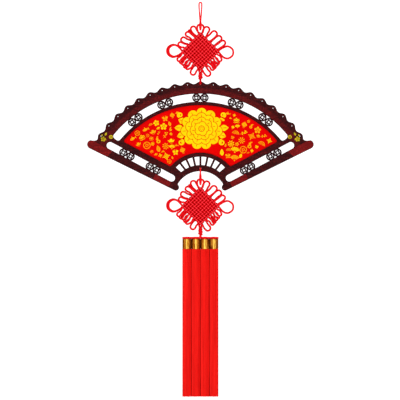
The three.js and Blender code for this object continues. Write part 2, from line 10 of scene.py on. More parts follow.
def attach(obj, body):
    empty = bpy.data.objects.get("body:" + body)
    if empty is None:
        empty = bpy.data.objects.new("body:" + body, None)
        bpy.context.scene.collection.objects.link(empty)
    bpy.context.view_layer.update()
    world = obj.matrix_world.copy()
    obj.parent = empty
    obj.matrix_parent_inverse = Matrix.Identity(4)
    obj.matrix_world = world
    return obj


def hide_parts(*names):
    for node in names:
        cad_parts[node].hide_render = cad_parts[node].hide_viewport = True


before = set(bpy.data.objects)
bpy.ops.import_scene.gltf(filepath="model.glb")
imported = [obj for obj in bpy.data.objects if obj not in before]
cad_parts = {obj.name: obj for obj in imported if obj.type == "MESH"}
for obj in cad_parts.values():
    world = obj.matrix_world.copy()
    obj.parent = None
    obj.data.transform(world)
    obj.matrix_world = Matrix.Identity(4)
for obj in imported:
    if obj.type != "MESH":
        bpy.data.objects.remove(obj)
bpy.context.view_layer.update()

# Sizes are in millimetres: x to the right, y to the back, z up, from the top of the hanging loop
MM = 0.001


def table(columns, *rows):
    return [dict(zip(columns.split(), row)) for row in rows]


# Camera, lights and stage
VIEW_CENTRE = (-1.1, -525.3)
VIEW_WIDTH = 1059.6
LENS = 150
SENSOR = 36
STAGE = {"floor": -1300, "wall": 5500, "bend": 1200, "half_width": 9000, "near": -7500, "height": 7000}
WORLD_STRENGTH = 0.3
STAGE_GLOW = 0.93
STAGE_PALE = (0.41, 0.43)
LIGHTS = table(
    "name place aim size watts",
    ("front", (0, -4800, 100), (0, 0, -560), (4600, 3400), 53),
    ("left", (-2900, -1700, 500), (0, 0, -520), (1500, 2600), 29),
    ("right", (3000, -1500, 200), (0, 0, -560), (1200, 2600), 19),
    ("top", (0, -1900, 2100), (0, 0, -450), (2200, 1400), 25),
)

# Cords
THIN_CORD = 1.85
LINK_CORD = 2.0
KNOT_CORD = 2.7
CORD_SPACING = 1.3

# Woven knots
STRANDS = 10
KNOT_HALF_DIAGONAL = 51.5
STRAND_PITCH = KNOT_HALF_DIAGONAL * math.sqrt(2) / STRANDS
STRAND = {
    "half_width": 3.5, "half_depth": 2.3, "end": 0.6, "swing": 2.6, "flatness": 0.8, "overhang": 0.1,
    "step": 0.1, "sides": 12, "core": 1.3, "core_inside": 0.4,
}
STRAY = {"waves": (0.5, 0.9), "reach": (0.1, 0.45), "shade": (-0.1, 0.22)}
UPPER_KNOT_Z = -132
LOWER_KNOT_Z = -541.7
LEG = {"inside": 3.4, "outside": 2.0, "end_share": 0.6}

# Ears of a knot: how far along its side an ear stands, from the side's upper corner, where its tip lies from
# the knot's centre, half the width between the middles of its legs, its lean to the front, and its bulge.
# The last five are the thin loops of the tangle between them.
EARS = table(
    "side at x z half lean bulge",
    ("upper_left", 10.5, -23.8, 67.8, 6.8, -2.6, 0.8),
    ("upper_left", 24.5, -40.3, 50.6, 5.9, 2.6, -1.0),
    ("upper_left", 40, -53.5, 35.8, 6.6, -2.6, 0.8),
    ("upper_left", 54.5, -60.4, 20.9, 5.7, 2.6, 0.6),
    ("upper_right", 11.9, 21.2, 67.8, 7.5, -2.6, -0.6),
    ("upper_right", 28.4, 43.4, 53.5, 7.6, 2.6, 0.8),
    ("upper_right", 44.8, 56.2, 41.1, 7.2, -2.6, -0.6),
    ("upper_right", 59.6, 66.8, 28.3, 6.5, 2.6, 0.4),
    ("lower_left", 11.5, -61.5, -27.3, 5.5, 2.6, 1.6),
    ("lower_left", 26, -50.3, -36.8, 4.4, -2.6, -2.0),
    ("lower_left", 42, -39.5, -47.4, 5.1, 2.6, 2.2),
    ("lower_left", 58.5, -24.9, -63, 6.7, -2.6, -0.8),
    ("lower_right", 15, 56.7, -26.5, 5.1, 2.6, -1.8),
    ("lower_right", 30, 46.6, -38.9, 4.7, -2.6, 2.2),
    ("lower_right", 45.5, 37.4, -50.3, 5.1, 2.6, -2.0),
    ("lower_right", 60.5, 24.9, -66.5, 7.1, -2.6, 0.8),
    ("upper_left", 17.6, -32.6, 57.2, 2.3, 0, 0.3),
    ("lower_left", 18.8, -55.0, -33.6, 4.0, 0.4, -1.2),
    ("lower_left", 34.2, -44.3, -44.1, 4.2, -0.4, 1.4),
    ("lower_right", 22.6, 51.0, -34.6, 4.0, -0.4, 1.2),
    ("lower_right", 38, 41.0, -46.2, 4.2, 0.4, -1.4),
)
EAR_JITTER = 0.6
BIG_EARS = table(
    "hand reach top bottom lean",
    (-1, 88.5, 18.3, -14.6, -1.4),
    (-1, 84.2, 17.0, -13.4, 1.2),
    (1, 87.1, 13.8, -18.3, -1.4),
)
# Points of a big ear: share of the way out from the square's corner, and of the way up or down
BIG_EAR_SHAPE = [(0.28, 0.82), (0.6, 1), (0.93, 0.55)]
TOP_EAR = {"half_width": 8.9, "middle": 62.5, "top": 71.5, "root": 5.6}
SIDE_LENGTH = STRAND_PITCH * STRANDS
BIG_EAR_ROOT = SIDE_LENGTH - 3.6
EAR_ROOT = 0.95
EAR_ROUND = 0.9
BUTTON_TOP = -60.5
BUTTON_CORD = 2.45
BUTTON_CORE = {"radius": 5.2, "above": 2, "below": 1, "sides": 12}
# The turns of a button knot, from the top: height, radius and tilt in degrees
UPPER_BUTTON = [(-63.2, 4.0, 15), (-67, 4.6, -15), (-70.8, 3.8, 12)]
LOWER_BUTTON = [(-63, 3.6, 15), (-66.6, 3.9, -15), (-70.4, 4.6, 16), (-74, 4.0, -12)]

# The two tails between the square and the button knot: to the side, to the back, up from the lower corner
TAIL = [(3.6, 0.8, 1.5), (2.5, 0.6, -3), (1.9, 0, -11.5)]

# Hanging loop and links. One leg of the loop: to the side, to the front, down from its top
LOOP_LEG = [(2.8, 0, 3.2), (3.6, 0, 9), (3.1, 0, 22), (2.2, 0, 34), (1.4, 0.8, 43), (0.9, 1.8, 51)]
EAR_WRAP = {"clear": 4.4, "slant": 0.75, "sag": 0.2, "bight": 15.5, "spread": 2.0, "top": 3.4}
COLLAR = {"rise": 0.6, "radius": 2.1, "tilt_deg": 10, "cord": 0.85}
TIE = {"apart": 1.25, "radius": 1.5}

# Fan, measured from the centre of its rim's arcs
FAN_Z = -540
FAN_THICKNESS = 9
FAN_FRONT = -FAN_THICKNESS / 2
FACET = 0.03
SCALLOP = {"count": 19, "pitch_deg": 6.12, "radius": 325.5, "wave": 3.5, "steps": 14, "hole_radius": 321.4}
RIM_HOLE = 1.25
TIED_HOLE = 2.3
LOWER_HOLE_Z = 99
SIDE_TILT = 27.9
SIDE_COS, SIDE_SIN, SIDE_SLOPE = (way(math.radians(SIDE_TILT)) for way in (math.cos, math.sin, math.tan))
GUARD_TAPER = 1.7
TIP = {"x": 288.4, "z": 161.8, "radius": 11.6, "from_deg": 15, "valley": 0.35}
KNOB = {"x": 65.2, "z": 48.3, "radius": 8.75, "to_deg": 320}
TOP_SLOT = {"inner": 275, "outer": 296.4, "half_span_deg": 52, "corner": 8}
SIDE_SLOT = {"rise": 32.3, "half_width": 9.1, "outer_x": 239.4, "inner_x": 76.4}
PANEL = {"top_radius": 266, "side_rise": 61.1, "bottom_z": 37, "bottom_radius": 103}
PANEL_CORNER = {"outer": 7, "inner": 4}
WINDOW = {"rib_z": 41.2, "top_z": 42.3, "top_radius": 87.2, "bottom_z": 29, "bottom_radius": 78.4}
RIB = {"count": 7, "pitch_deg": 12.3, "width": 5.6}
LOWER_ARC = {"z": 21.1, "radius": 69.9, "half_span_deg": 58}
LIP = 2.5
LEDGE = 3
PANEL_GAP = 0.3
PANEL_FRONT = FAN_FRONT + LIP + PANEL_GAP
PANEL_THICKNESS = 4
BEVEL = 1.0
FINE_BEVEL = 0.3
HOLE_BEVEL = 0.1
# Where the wood is redder, as smooth steps in metres: a band under the rim, and the ends of the guard sticks
REDDER = {
    "band_outer": (0.314, 0.307), "band_inner": (0.290, 0.296), "band_share": 0.4, "stick": (0.0192, 0.0180),
    "tip": (0.2775, 0.2795), "tip_slant": 0.3, "foot_outer": (0.1455, 0.1435), "foot_inner": (0.0965, 0.0985),
}

# Fretwork coins
COIN = {"radius": 11.3, "half_spacing": 10.75, "recess": 0.8}
FRET = {"square": 4.6, "bar": 3.6, "ring_inner": 7.4, "slit_taper": 0.72}
COIN_PAIRS_TOP_DEG = [-37.2, -19.05, 0, 19.05, 37.2]
COIN_PAIRS_SIDE_X = [194.6, 124.9]

# Prints
FOIL = 0.12
LAYER = 0.05
PRINT_SINK = 0.15
PEONY = {"x": 3, "z": 203.5}
PEONY_LINE = 1.5

# Caps and tassels
TASSELS = 4
TASSEL_PITCH = 23.8
BAR = {
    "radius": 2.95, "bump": 0.12, "half_length": 48.5, "end": 1.4, "step": 1.0,
    "way": [(-48.4, 0, -625.8), (-36, 0.3, -625.5), (-24, -0.3, -625.8), (-12, 0.3, -625.5), (0, 0, -625.7),
            (12, 0.3, -625.5), (24, -0.3, -625.8), (36, 0.3, -625.5), (48.4, 0, -625.8)],
    "stem": [(0, 0, -616.5), (0, 0, -620), (0, 0, -624.6)], "stem_radius": (2.9, 3.6),
    "foot": [(0, 1.2), (3.2, 0.9), (4.4, 0.35), (4.6, 0.05), (4.2, 0), (0, 0)],
}
CAP_TOP = -628.4
CAP_PROFILE = [
    (0, 0), (9.8, 0), (10.9, -0.15), (11.75, -0.5), (11.9, -1), (11.9, -2.4), (11.9, -12), (11.9, -23.9),
    (11.9, -25.6), (11.75, -26), (11.1, -26), (10.9, -25), (10.9, -1), (0, -1),
]
CAP_SIDES = 48
CAP_LENGTH = 26
THREADS = {
    "count": 620, "radius": 0.42, "top": -646, "middle": [-720, -800, -890, -975], "end": -1045.5,
    "ragged": 5, "sway": (0.1, 0.35), "waves": (31, 37), "drift": 0.5, "skin": 0.07,
    "painted_seam_shade_from": 0.9, "painted_seam_shade": 2.2,
}
BUNDLE = {"half_width": 12.2, "half_depth": 11.0, "neck": 0.94, "neck_end": -655.3, "corner": 4.5}


# Meshes: a shell collects the vertices, faces, face-corner UVs and material numbers of one piece
class Shell:
    def __init__(self):
        self.vertices = []
        self.faces = []
        self.uvs = []
        self.looks = []

    def add(self, vertices, faces, uvs=None, look=0):
        first = len(self.vertices)
        self.vertices.extend(tuple(vertex) for vertex in vertices)
        for number, face in enumerate(faces):
            self.faces.append(tuple(first + corner for corner in face))
            self.uvs.extend(uvs[number] if uvs else [(0.0, 0.0)] * len(face))
            self.looks.append(look)

    def piece(self, name, slot, nodes, materials):
        mesh = bpy.data.meshes.new(name)
        mesh.from_pydata((np.array(self.vertices) * MM).tolist(), [], self.faces)
        layer = mesh.uv_layers.new(name="UVMap")
        layer.data.foreach_set("uv", np.array(self.uvs, dtype=float).ravel())
        mesh.polygons.foreach_set("material_index", self.looks)
        for material in materials:
            mesh.materials.append(material)
        mesh.shade_smooth()
        mesh.set_sharp_from_angle(angle=math.radians(38))
        made = placed(name, mesh)
        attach(made, "root")
        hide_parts(*nodes)
        return made


def placed(name, data):
    made = bpy.data.objects.new(name, data)
    bpy.context.scene.collection.objects.link(made)
    return made


def unit(vectors):
    vectors = np.asarray(vectors, dtype=float)
    return vectors / np.linalg.norm(vectors, axis=-1, keepdims=True)


def smooth_path(points, spacing=CORD_SPACING, closed=False):
    """Evenly spaced points along a smooth curve through the given ones."""
    points = np.asarray(points, dtype=float)
    if closed:
        points = np.vstack([points[-1], points, points[0], points[1]])
    else:
        points = np.vstack([2 * points[0] - points[1], points, 2 * points[-1] - points[-2]])
    fine = []
    for a, b, c, d in zip(points, points[1:], points[2:], points[3:]):
        knots = np.cumsum([0] + [math.sqrt(np.linalg.norm(q - p)) for p, q in ((a, b), (b, c), (c, d))])
        t0, t1, t2, t3 = knots
        for t in np.linspace(t1, t2, 16, endpoint=False):
            ab = a + (b - a) * (t - t0) / (t1 - t0)
            bc = b + (c - b) * (t - t1) / (t2 - t1)
            cd = c + (d - c) * (t - t2) / (t3 - t2)
            abc = ab + (bc - ab) * (t - t0) / (t2 - t0)
            bcd = bc + (cd - bc) * (t - t1) / (t3 - t1)
            fine.append(abc + (bcd - abc) * (t - t1) / (t2 - t1))
    fine.append(points[-2])
    fine = np.array(fine)
    lengths = np.concatenate([[0], np.cumsum(np.linalg.norm(np.diff(fine, axis=0), axis=1))])
    count = max(3, int(round(lengths[-1] / spacing)) + 1)
    places = np.linspace(0, lengths[-1], count)
    if closed:
        places = places[:-1]
    return np.stack([np.interp(places, lengths, fine[:, axis]) for axis in range(3)], axis=1)


def tube(shell, path, half_width, half_depth=None, sides=8, closed=False, look=0, marks=None):
    """A cord along the path. Its half sizes are numbers or one value for each point of the path. Its UVs run
    along it, or take the marks, and then round it."""
    path = np.asarray(path, dtype=float)
    count = len(path)
    width = np.broadcast_to(half_width, count)
    depth = width if half_depth is None else np.broadcast_to(half_depth, count)
    ahead = np.roll(path, -1, axis=0) - np.roll(path, 1, axis=0)
    if not closed:
        ahead[0] = path[1] - path[0]
        ahead[-1] = path[-1] - path[-2]
    ahead = unit(ahead)
    up = np.array([0.0, 1.0, 0.0]) if abs(ahead[0][1]) < 0.9 else np.array([1.0, 0.0, 0.0])
    ups = []
    for direction in ahead:
        up = unit(up - direction * np.dot(up, direction))
        ups.append(up)
    ups = np.array(ups)
    if closed:
        last = unit(ups[-1] - ahead[0] * np.dot(ups[-1], ahead[0]))
        turn = math.atan2(np.dot(np.cross(ups[0], last), ahead[0]), np.dot(ups[0], last))
        turns = -turn * np.arange(count)[:, None] / count
        ups = ups * np.cos(turns) + np.cross(ahead, ups) * np.sin(turns)
    across = np.cross(ups, ahead)
    angles = 2 * math.pi * np.arange(sides) / sides
    rings = (
        path[:, None, :]
        + across[:, None, :] * (width[:, None] * np.cos(angles))[:, :, None]
        + ups[:, None, :] * (depth[:, None] * np.sin(angles))[:, :, None]
    )
    steps = np.linalg.norm(np.diff(path, axis=0, append=path[:1]), axis=1)
    along = np.concatenate([[0], np.cumsum(steps)]) / (2 * math.pi * float(width.mean()))
    if marks is not None:
        along = np.append(marks, marks[-1])
    faces = []
    uvs = []
    for i in range(count if closed else count - 1):
        after = (i + 1) % count
        for j in range(sides):
            beside = (j + 1) % sides
            faces.append((i * sides + j, i * sides + beside, after * sides + beside, after * sides + j))
            low, high = j / sides, (j + 1) / sides
            uvs.append([(along[i], low), (along[i], high), (along[i + 1], high), (along[i + 1], low)])
    if not closed:
        faces.append(tuple(reversed(range(sides))))
        faces.append(tuple((count - 1) * sides + j for j in range(sides)))
        uvs.extend([[(along[0], 0.0)] * sides, [(along[count - 1], 0.0)] * sides])
    shell.add(rings.reshape(-1, 3), faces, uvs, look)


def lathe(shell, profile, sides, x, z, look=0):
    """A turned piece round a vertical line, from (radius, height) points that start and end on the line."""
    widest = max(radius for radius, _ in profile)
    vertices = []
    rows = []
    for radius, height in profile:
        size = 1 if radius == 0 else sides
        rows.append((len(vertices), size, height))
        for j in range(size):
            angle = 2 * math.pi * j / sides
            vertices.append((x + radius * math.cos(angle), radius * math.sin(angle), z + height))
    faces = []
    uvs = []
    for (first, size, height), (second, next_size, next_height) in zip(rows, rows[1:]):
        for j in range(sides):
            k = (j + 1) % sides
            ring = [(first + j % size, j, height), (second + j % next_size, j, next_height)]
            ring += [(second + k % next_size, j + 1, next_height), (first + k % size, j + 1, height)]
            kept = [corner for n, corner in enumerate(ring) if corner[0] != ring[n - 1][0]]
            faces.append(tuple(corner[0] for corner in kept))
            uvs.append([(corner[1] / sides, corner[2] / widest) for corner in kept])
    shell.add(vertices, faces, uvs, look)


# Outlines: a clock angle is measured from straight up, towards +x
def on_circle(x, z, radius, clock_deg):
    angle = math.radians(clock_deg)
    return np.array([x + radius * math.sin(angle), z + radius * math.cos(angle)])


def arc(x, z, radius, from_deg, to_deg, facet=FACET):
    widest = 2 * math.acos(1 - facet / radius)
    steps = max(2, math.ceil(abs(math.radians(to_deg - from_deg)) / widest))
    return [on_circle(x, z, radius, from_deg + (to_deg - from_deg) * i / steps) for i in range(steps + 1)]


def ring(x, z, radius, sides=20):
    return [on_circle(x, z, radius, 360 * i / sides) for i in range(sides)]


def mirrored(points):
    return [np.array([-x, z]) for x, z in reversed(points)]


def quadratic(start, middle, end, steps):
    shares = [i / steps for i in range(steps + 1)]
    return [start * (1 - t) ** 2 + middle * 2 * t * (1 - t) + end * t**2 for t in shares]


def shortened(edge, trim):
    points = list(edge)
    left = trim
    while len(points) > 2 and np.linalg.norm(points[1] - points[0]) <= left:
        left -= np.linalg.norm(points[1] - points[0])
        points.pop(0)
    share = left / np.linalg.norm(points[1] - points[0])
    points[0] = points[0] + (points[1] - points[0]) * share
    return points


def rounded_outline(edges, corners, steps=6):
    """An outline from edges that meet at sharp corners, each corner rounded over its own stretch."""
    cut = []
    for i, edge in enumerate(edges):
        start = shortened(edge, corners[i])
        cut.append(shortened(start[::-1], corners[(i + 1) % len(edges)])[::-1])
    outline = []
    for i, edge in enumerate(cut):
        bend = quadratic(edge[-1], edges[i][-1], cut[(i + 1) % len(cut)][0], steps)
        outline += edge + bend[1:-1]
    return outline


def turned(points, degrees, scale=1.0, x=0.0, z=0.0):
    angle = math.radians(degrees)
    cosine, sine = math.cos(angle), math.sin(angle)
    return [
        np.array([x + scale * (px * cosine - pz * sine), z + scale * (px * sine + pz * cosine)])
        for px, pz in points
    ]


def area_of(points):
    points = np.array(points)
    after = np.roll(points, -1, axis=0)
    return float(np.sum(points[:, 0] * after[:, 1] - after[:, 0] * points[:, 1]) / 2)


def wound(points, solid_inside):
    """The outline as an array that keeps the solid on its left."""
    keep = (area_of(points) > 0) == solid_inside
    return np.array(points if keep else points[::-1], dtype=float)


def inset(points, distance):
    """The outline moved into the solid on its left."""
    before = unit(points - np.roll(points, 1, axis=0))
    after = unit(np.roll(points, -1, axis=0) - points)
    normals = [np.stack([-edge[:, 1], edge[:, 0]], axis=1) for edge in (before, after)]
    middle = unit(normals[0] + normals[1])
    stretch = np.maximum(np.sum(middle * normals[0], axis=1, keepdims=True), 0.5)
    return points + middle * distance / stretch


def plate(shell, outlines, looks=(0, 1)):
    """A flat piece. The first outline is its outer edge, the others are holes. Each comes with its levels,
    from front to back, as (y, inset) pairs. looks are the numbers for the faces and for the edges."""
    loops = [wound(points, number == 0) for number, (points, levels) in enumerate(outlines)]
    for loop, (points, levels) in zip(loops, outlines):
        rows = []
        for y, distance in levels:
            moved = inset(loop, distance) if distance else loop
            rows += [(x, y, z + FAN_Z) for x, z in moved]
        count = len(loop)
        faces = []
        for level in range(len(levels) - 1):
            for i in range(count):
                a, b = level * count + i, level * count + (i + 1) % count
                faces.append((a, a + count, b + count, b))
        shell.add(rows, faces, None, looks[1])
    for level in (0, -1):
        cap = []
        y = outlines[0][1][level][0]
        for loop, (points, levels) in zip(loops, outlines):
            distance = levels[level][1]
            moved = inset(loop, distance) if distance else loop
            cap.append([Vector((x, z, 0)) for x, z in moved])
        flat = [corner for part in cap for corner in part]
        faces = []
        for triangle in tessellate_polygon(cap):
            a, b, c = (flat[corner] for corner in triangle)
            front = (b - a).cross(c - a).z > 0
            faces.append(tuple(triangle) if front == (level == 0) else tuple(reversed(triangle)))
        shell.add([(spot.x, y, spot.y + FAN_Z) for spot in flat], faces, None, looks[0])


def even_levels(front, back, bevel):
    steps = [(0, 1), (0.3, 0.3), (1, 0)]
    near = [(front + deep * bevel, share * bevel) for deep, share in steps]
    return near + [(back - deep * bevel, share * bevel) for deep, share in reversed(steps)]


# Materials
def srgb(red, green, blue):
    linear = []
    for value in (red, green, blue):
        share = value / 255
        linear.append(share / 12.92 if share <= 0.04045 else ((share + 0.055) / 1.055) ** 2.4)
    return (*linear, 1.0)


# The sockets of a Mix node's factor and colours, and of its mixed colour
MIX_INPUTS = (0, 6, 7)
MIX_RESULT = 2


class Look:
    """A material, wired by short calls. The names of constants are the shader's sockets."""

    def __init__(self, name, constants):
        self.material = bpy.data.materials.new(name)
        self.material.use_nodes = True
        self.nodes = self.material.node_tree.nodes
        self.links = self.material.node_tree.links
        self.shader = self.nodes["Principled BSDF"]
        for socket, value in constants.items():
            self.shader.inputs[socket].default_value = value
        self.spots = self.nodes.new("ShaderNodeTexCoord").outputs

    def feed(self, socket, value):
        if isinstance(value, bpy.types.NodeSocket):
            self.links.new(value, socket)
        else:
            socket.default_value = value

    def fill(self, node, inputs):
        """Feeds the sockets of a node, given by their numbers or names."""
        for socket, value in inputs.items():
            self.feed(node.inputs[socket], value)
        return node

    def math(self, operation, *values):
        node = self.nodes.new("ShaderNodeMath")
        node.operation = operation
        return self.fill(node, dict(enumerate(values))).outputs[0]

    def times(self, first, second):
        return self.math("MULTIPLY", first, second)

    def plus(self, first, second):
        return self.math("ADD", first, second)

    def weigh(self, value, share, rest):
        """The value times its share, plus the rest."""
        return self.math("MULTIPLY_ADD", value, share, rest)

    def parts(self, vector):
        return self.fill(self.nodes.new("ShaderNodeSeparateXYZ"), {0: vector}).outputs

    def grain(self, scale, detail=3.0, distortion=0.0):
        """Noise over the piece, at one scale or at one for each axis."""
        place = self.spots["Object"]
        if isinstance(scale, tuple):
            mapping = self.fill(self.nodes.new("ShaderNodeMapping"), {"Vector": place, "Scale": scale})
            place, scale = mapping.outputs[0], 1.0
        inputs = {"Vector": place, "Scale": scale, "Detail": detail, "Distortion": distortion}
        return self.fill(self.nodes.new("ShaderNodeTexNoise"), inputs).outputs[0]

    def step(self, value, low, high):
        node = self.nodes.new("ShaderNodeMapRange")
        node.interpolation_type = "SMOOTHSTEP"
        return self.fill(node, {"Value": value, "From Min": low, "From Max": high}).outputs[0]

    def ramp(self, factor, *stops):
        node = self.fill(self.nodes.new("ShaderNodeValToRGB"), {0: factor})
        elements = node.color_ramp.elements
        while len(elements) < len(stops):
            elements.new(0.5)
        for element, (position, colour) in zip(elements, stops):
            element.position = position
            element.color = colour
        return node.outputs[0]

    def blend(self, *values):
        """A mix of two colours: the factor, then the colours."""
        node = self.nodes.new("ShaderNodeMix")
        node.data_type = "RGBA"
        return self.fill(node, dict(zip(MIX_INPUTS, values))).outputs[MIX_RESULT]

    def finish(self, colour, roughness=None, height=None, bump=0.0):
        self.feed(self.shader.inputs["Base Color"], colour)
        if roughness is not None:
            self.feed(self.shader.inputs["Roughness"], roughness)
        if height is not None:
            node = self.fill(self.nodes.new("ShaderNodeBump"), {"Distance": bump * MM, "Height": height})
            self.feed(self.shader.inputs["Normal"], node.outputs[0])
        return self.material


def cord_material(name, picks, lift=0.0):
    """A braided satin cord with painted shade along its two sides. picks is the number of braid crossings
    round it, lift makes a copy brighter, which on the bar's cord is painted light.
    """
    look = Look(name, {"Specular IOR Level": 0.04})
    spots = look.parts(look.spots["UV"])
    around = look.times(spots[1], math.pi * picks)
    along = look.times(spots[0], math.pi * picks * 0.8)
    rising = look.math("SINE", look.plus(around, along))
    falling = look.math("SINE", look.math("SUBTRACT", around, along))
    braid = look.math("ABSOLUTE", look.times(rising, falling))
    wear = look.grain(120, 4)
    # Painted shade: the cord is darker along its two sides, going round its UVs; lift raises the whole tone
    side = look.math("POWER", look.math("COSINE", look.times(spots[1], 2 * math.pi)), 2.0)
    shade = look.weigh(side, -0.42, lift + 0.12)
    tone = look.weigh(braid, 0.55, look.weigh(wear, 0.5, shade))
    colour = look.ramp(
        tone, (0.0, srgb(158, 0, 5)), (0.3, srgb(206, 3, 11)), (0.58, srgb(238, 8, 18)),
        (0.9, srgb(255, 26, 38)),
    )
    return look.finish(colour, look.weigh(wear, 0.2, 0.4), braid, 0.25)


def weave_material():
    """The same cord where it is woven, with a painted highlight on the crest of each pick and painted shade,
    deep red, where strands dip and meet. Its UVs are the height of the strand, -1 to 1, and the way round it."""
    look = Look("woven_cord_painted_light", {"Specular IOR Level": 0.03})
    spots = look.parts(look.spots["UV"])
    # Painted highlight across the middle of each strand where it rises to the front; painted shade where it
    # dips
    off = look.math("ABSOLUTE", look.math("COSINE", look.times(spots[1], 2 * math.pi)))
    painted_highlight_across = look.step(off, 0.64, 0.04)
    painted_highlight_by_height = look.step(spots[0], 0.4, 1.0)
    places = look.parts(look.spots["Object"])
    braid = look.times(*(look.math("SINE", look.times(places[axis], 2900.0)) for axis in (0, 2)))
    fibre = look.weigh(look.math("ABSOLUTE", braid), 0.5, look.grain(420, 3))
    tone = look.plus(look.times(painted_highlight_across, painted_highlight_by_height), look.weigh(fibre, 0.24, -0.16))
    colour = look.ramp(
        tone, (0.0, srgb(184, 0, 2)), (0.28, srgb(214, 0, 5)), (0.48, srgb(243, 10, 20)),
        (0.76, srgb(255, 58, 70)),
    )
    return look.finish(colour, look.weigh(fibre, 0.2, 0.42), fibre, 0.25)


def wood_material():
    """Dark red-brown board with a fine mottled grain, redder near the slot and on the guard sticks' ends."""
    look = Look("wood_face", {"Specular IOR Level": 0.05})
    spots = look.parts(look.spots["Object"])
    side = look.math("ABSOLUTE", spots[0])
    height = look.plus(spots[2], -FAN_Z * MM)
    radius = look.math("SQRT", look.plus(look.math("POWER", side, 2.0), look.math("POWER", height, 2.0)))
    along = look.plus(look.times(side, SIDE_COS), look.times(height, SIDE_SIN))
    over = look.math("SUBTRACT", look.times(height, SIDE_COS), look.times(side, SIDE_SIN))
    grain = look.grain((26, 60, 150), 5, 1.2)
    flecks = look.grain((300, 300, 420), 3, 0.4)
    figure = look.weigh(flecks, 0.62, look.times(grain, 0.4))
    dark = look.ramp(figure, (0.34, srgb(30, 4, 7)), (0.52, srgb(54, 10, 12)), (0.7, srgb(92, 20, 18)))
    red = look.ramp(figure, (0.34, srgb(78, 9, 12)), (0.52, srgb(108, 14, 16)), (0.7, srgb(144, 26, 24)))
    band = look.times(look.step(radius, *REDDER["band_outer"]), look.step(radius, *REDDER["band_inner"]))
    tip = look.step(look.weigh(over, REDDER["tip_slant"], along), *REDDER["tip"])
    foot = look.times(look.step(along, *REDDER["foot_outer"]), look.step(along, *REDDER["foot_inner"]))
    ends = look.times(look.step(over, *REDDER["stick"]), look.math("MAXIMUM", tip, foot))
    redder = look.math("MAXIMUM", ends, look.times(band, REDDER["band_share"]))
    return look.finish(look.blend(redder, dark, red), look.weigh(figure, 0.25, 0.34), figure, 0.12)


def edge_material():
    look = Look("wood_edge", {"Specular IOR Level": 0.06})
    streaks = look.grain((300, 900, 300), 3)
    colour = look.ramp(streaks, (0.3, srgb(26, 1, 5)), (0.7, srgb(46, 4, 8)))
    return look.finish(colour, look.weigh(streaks, 0.2, 0.45), streaks, 0.1)


def panel_material():
    look = Look("red_lacquer", {"Specular IOR Level": 0.015})
    cloud = look.grain(14, 3)
    grain = look.grain(900, 2)
    tone = look.weigh(grain, 0.25, look.times(cloud, 0.75))
    colour = look.ramp(tone, (0.3, srgb(210, 1, 1)), (0.7, srgb(228, 2, 1)))
    return look.finish(colour, look.weigh(grain, 0.15, 0.4), grain, 0.04)


def print_material(name, deep, bright):
    look = Look(name, {"Specular IOR Level": 0.03})
    cloud = look.grain(45, 3, 0.5)
    grain = look.grain(1100, 2)
    tone = look.weigh(grain, 0.3, look.times(cloud, 0.7))
    colour = look.ramp(tone, (0.32, deep), (0.62, bright))
    return look.finish(colour, look.weigh(grain, 0.2, 0.38), grain, 0.03)


def brass_material():
    """Thin rolled brass, with a painted highlight down the middle of its front and back, painted shade
    towards the seams between the caps, and painted reflection streaks and bands. Its UVs run once round the
    cap."""
    look = Look("brass_foil_painted_light", {"Metallic": 1.0, "Anisotropic": 0.25, "Specular Tint": srgb(120, 62, 24)})
    turn = look.times(look.parts(look.spots["UV"])[0], 4 * math.pi)
    # Painted highlight facing front and back, painted reflection bands and streaks wobbled by the crinkle,
    # and painted shade at the sides; the ramp runs from that shade to the highlight
    once = look.weigh(look.math("COSINE", look.plus(turn, math.pi)), 0.5, 0.5)
    twice = look.weigh(look.math("COSINE", look.times(turn, 2.0)), 0.5, 0.5)
    once, twice = look.math("POWER", once, 0.8), look.math("POWER", twice, 3.4)
    painted_sheen = look.weigh(once, 0.4, look.times(twice, 0.5))
    streaks = look.grain((480, 480, 34), 4, 1.2)
    crinkle = look.grain((150, 150, 70), 3, 0.6)
    painted_bands = look.math("COSINE", look.weigh(turn, 6.0, look.times(crinkle, 2.4)))
    painted_streaks = look.weigh(painted_bands, 0.13, look.weigh(streaks, 1.9, look.times(crinkle, 0.4)))
    tone = look.plus(painted_sheen, look.plus(painted_streaks, -1.06))
    colour = look.ramp(
        tone, (0.06, srgb(88, 34, 10)), (0.36, srgb(146, 70, 10)), (0.62, srgb(198, 126, 34)),
        (0.9, srgb(255, 208, 90)),
    )
    return look.finish(colour, look.weigh(streaks, 0.16, look.weigh(once, -0.4, 0.66)), crinkle, 0.3)


def thread_material():
    """Fine straight threads. Their UVs hold the tone of each thread, darker as painted shade at a tassel's
    sides.
    """
    look = Look("tassel_thread", {"Specular IOR Level": 0.06})
    streak = look.grain((240, 240, 5), 3)
    tone = look.weigh(look.parts(look.spots["UV"])[0], 0.3, look.times(streak, 0.8))
    colour = look.ramp(
        tone, (0.0, srgb(150, 9, 8)), (0.28, srgb(218, 16, 13)), (0.55, srgb(242, 27, 21)),
        (0.85, srgb(255, 37, 28)),
    )
    return look.finish(colour, look.weigh(streak, 0.2, 0.42), streak, 0.1)


# Woven knots
def weave_spot(right, left, y=0.0):
    shift = STRAND_PITCH / math.sqrt(2)
    return np.array([(right - left) * shift, y, KNOT_HALF_DIAGONAL - (right + left) * shift])


def strand_spot(run, number, place):
    """A point of a strand, number 1 to 10, at a place counted in pitches from its upper end."""
    wave = math.cos(math.pi * (place - 0.5))
    swing = STRAND["swing"] * (-1) ** number * math.copysign(abs(wave) ** STRAND["flatness"], wave)
    if run == "right":
        return weave_spot(place, number - 0.5, swing)
    return weave_spot(number - 0.5, place, -swing)


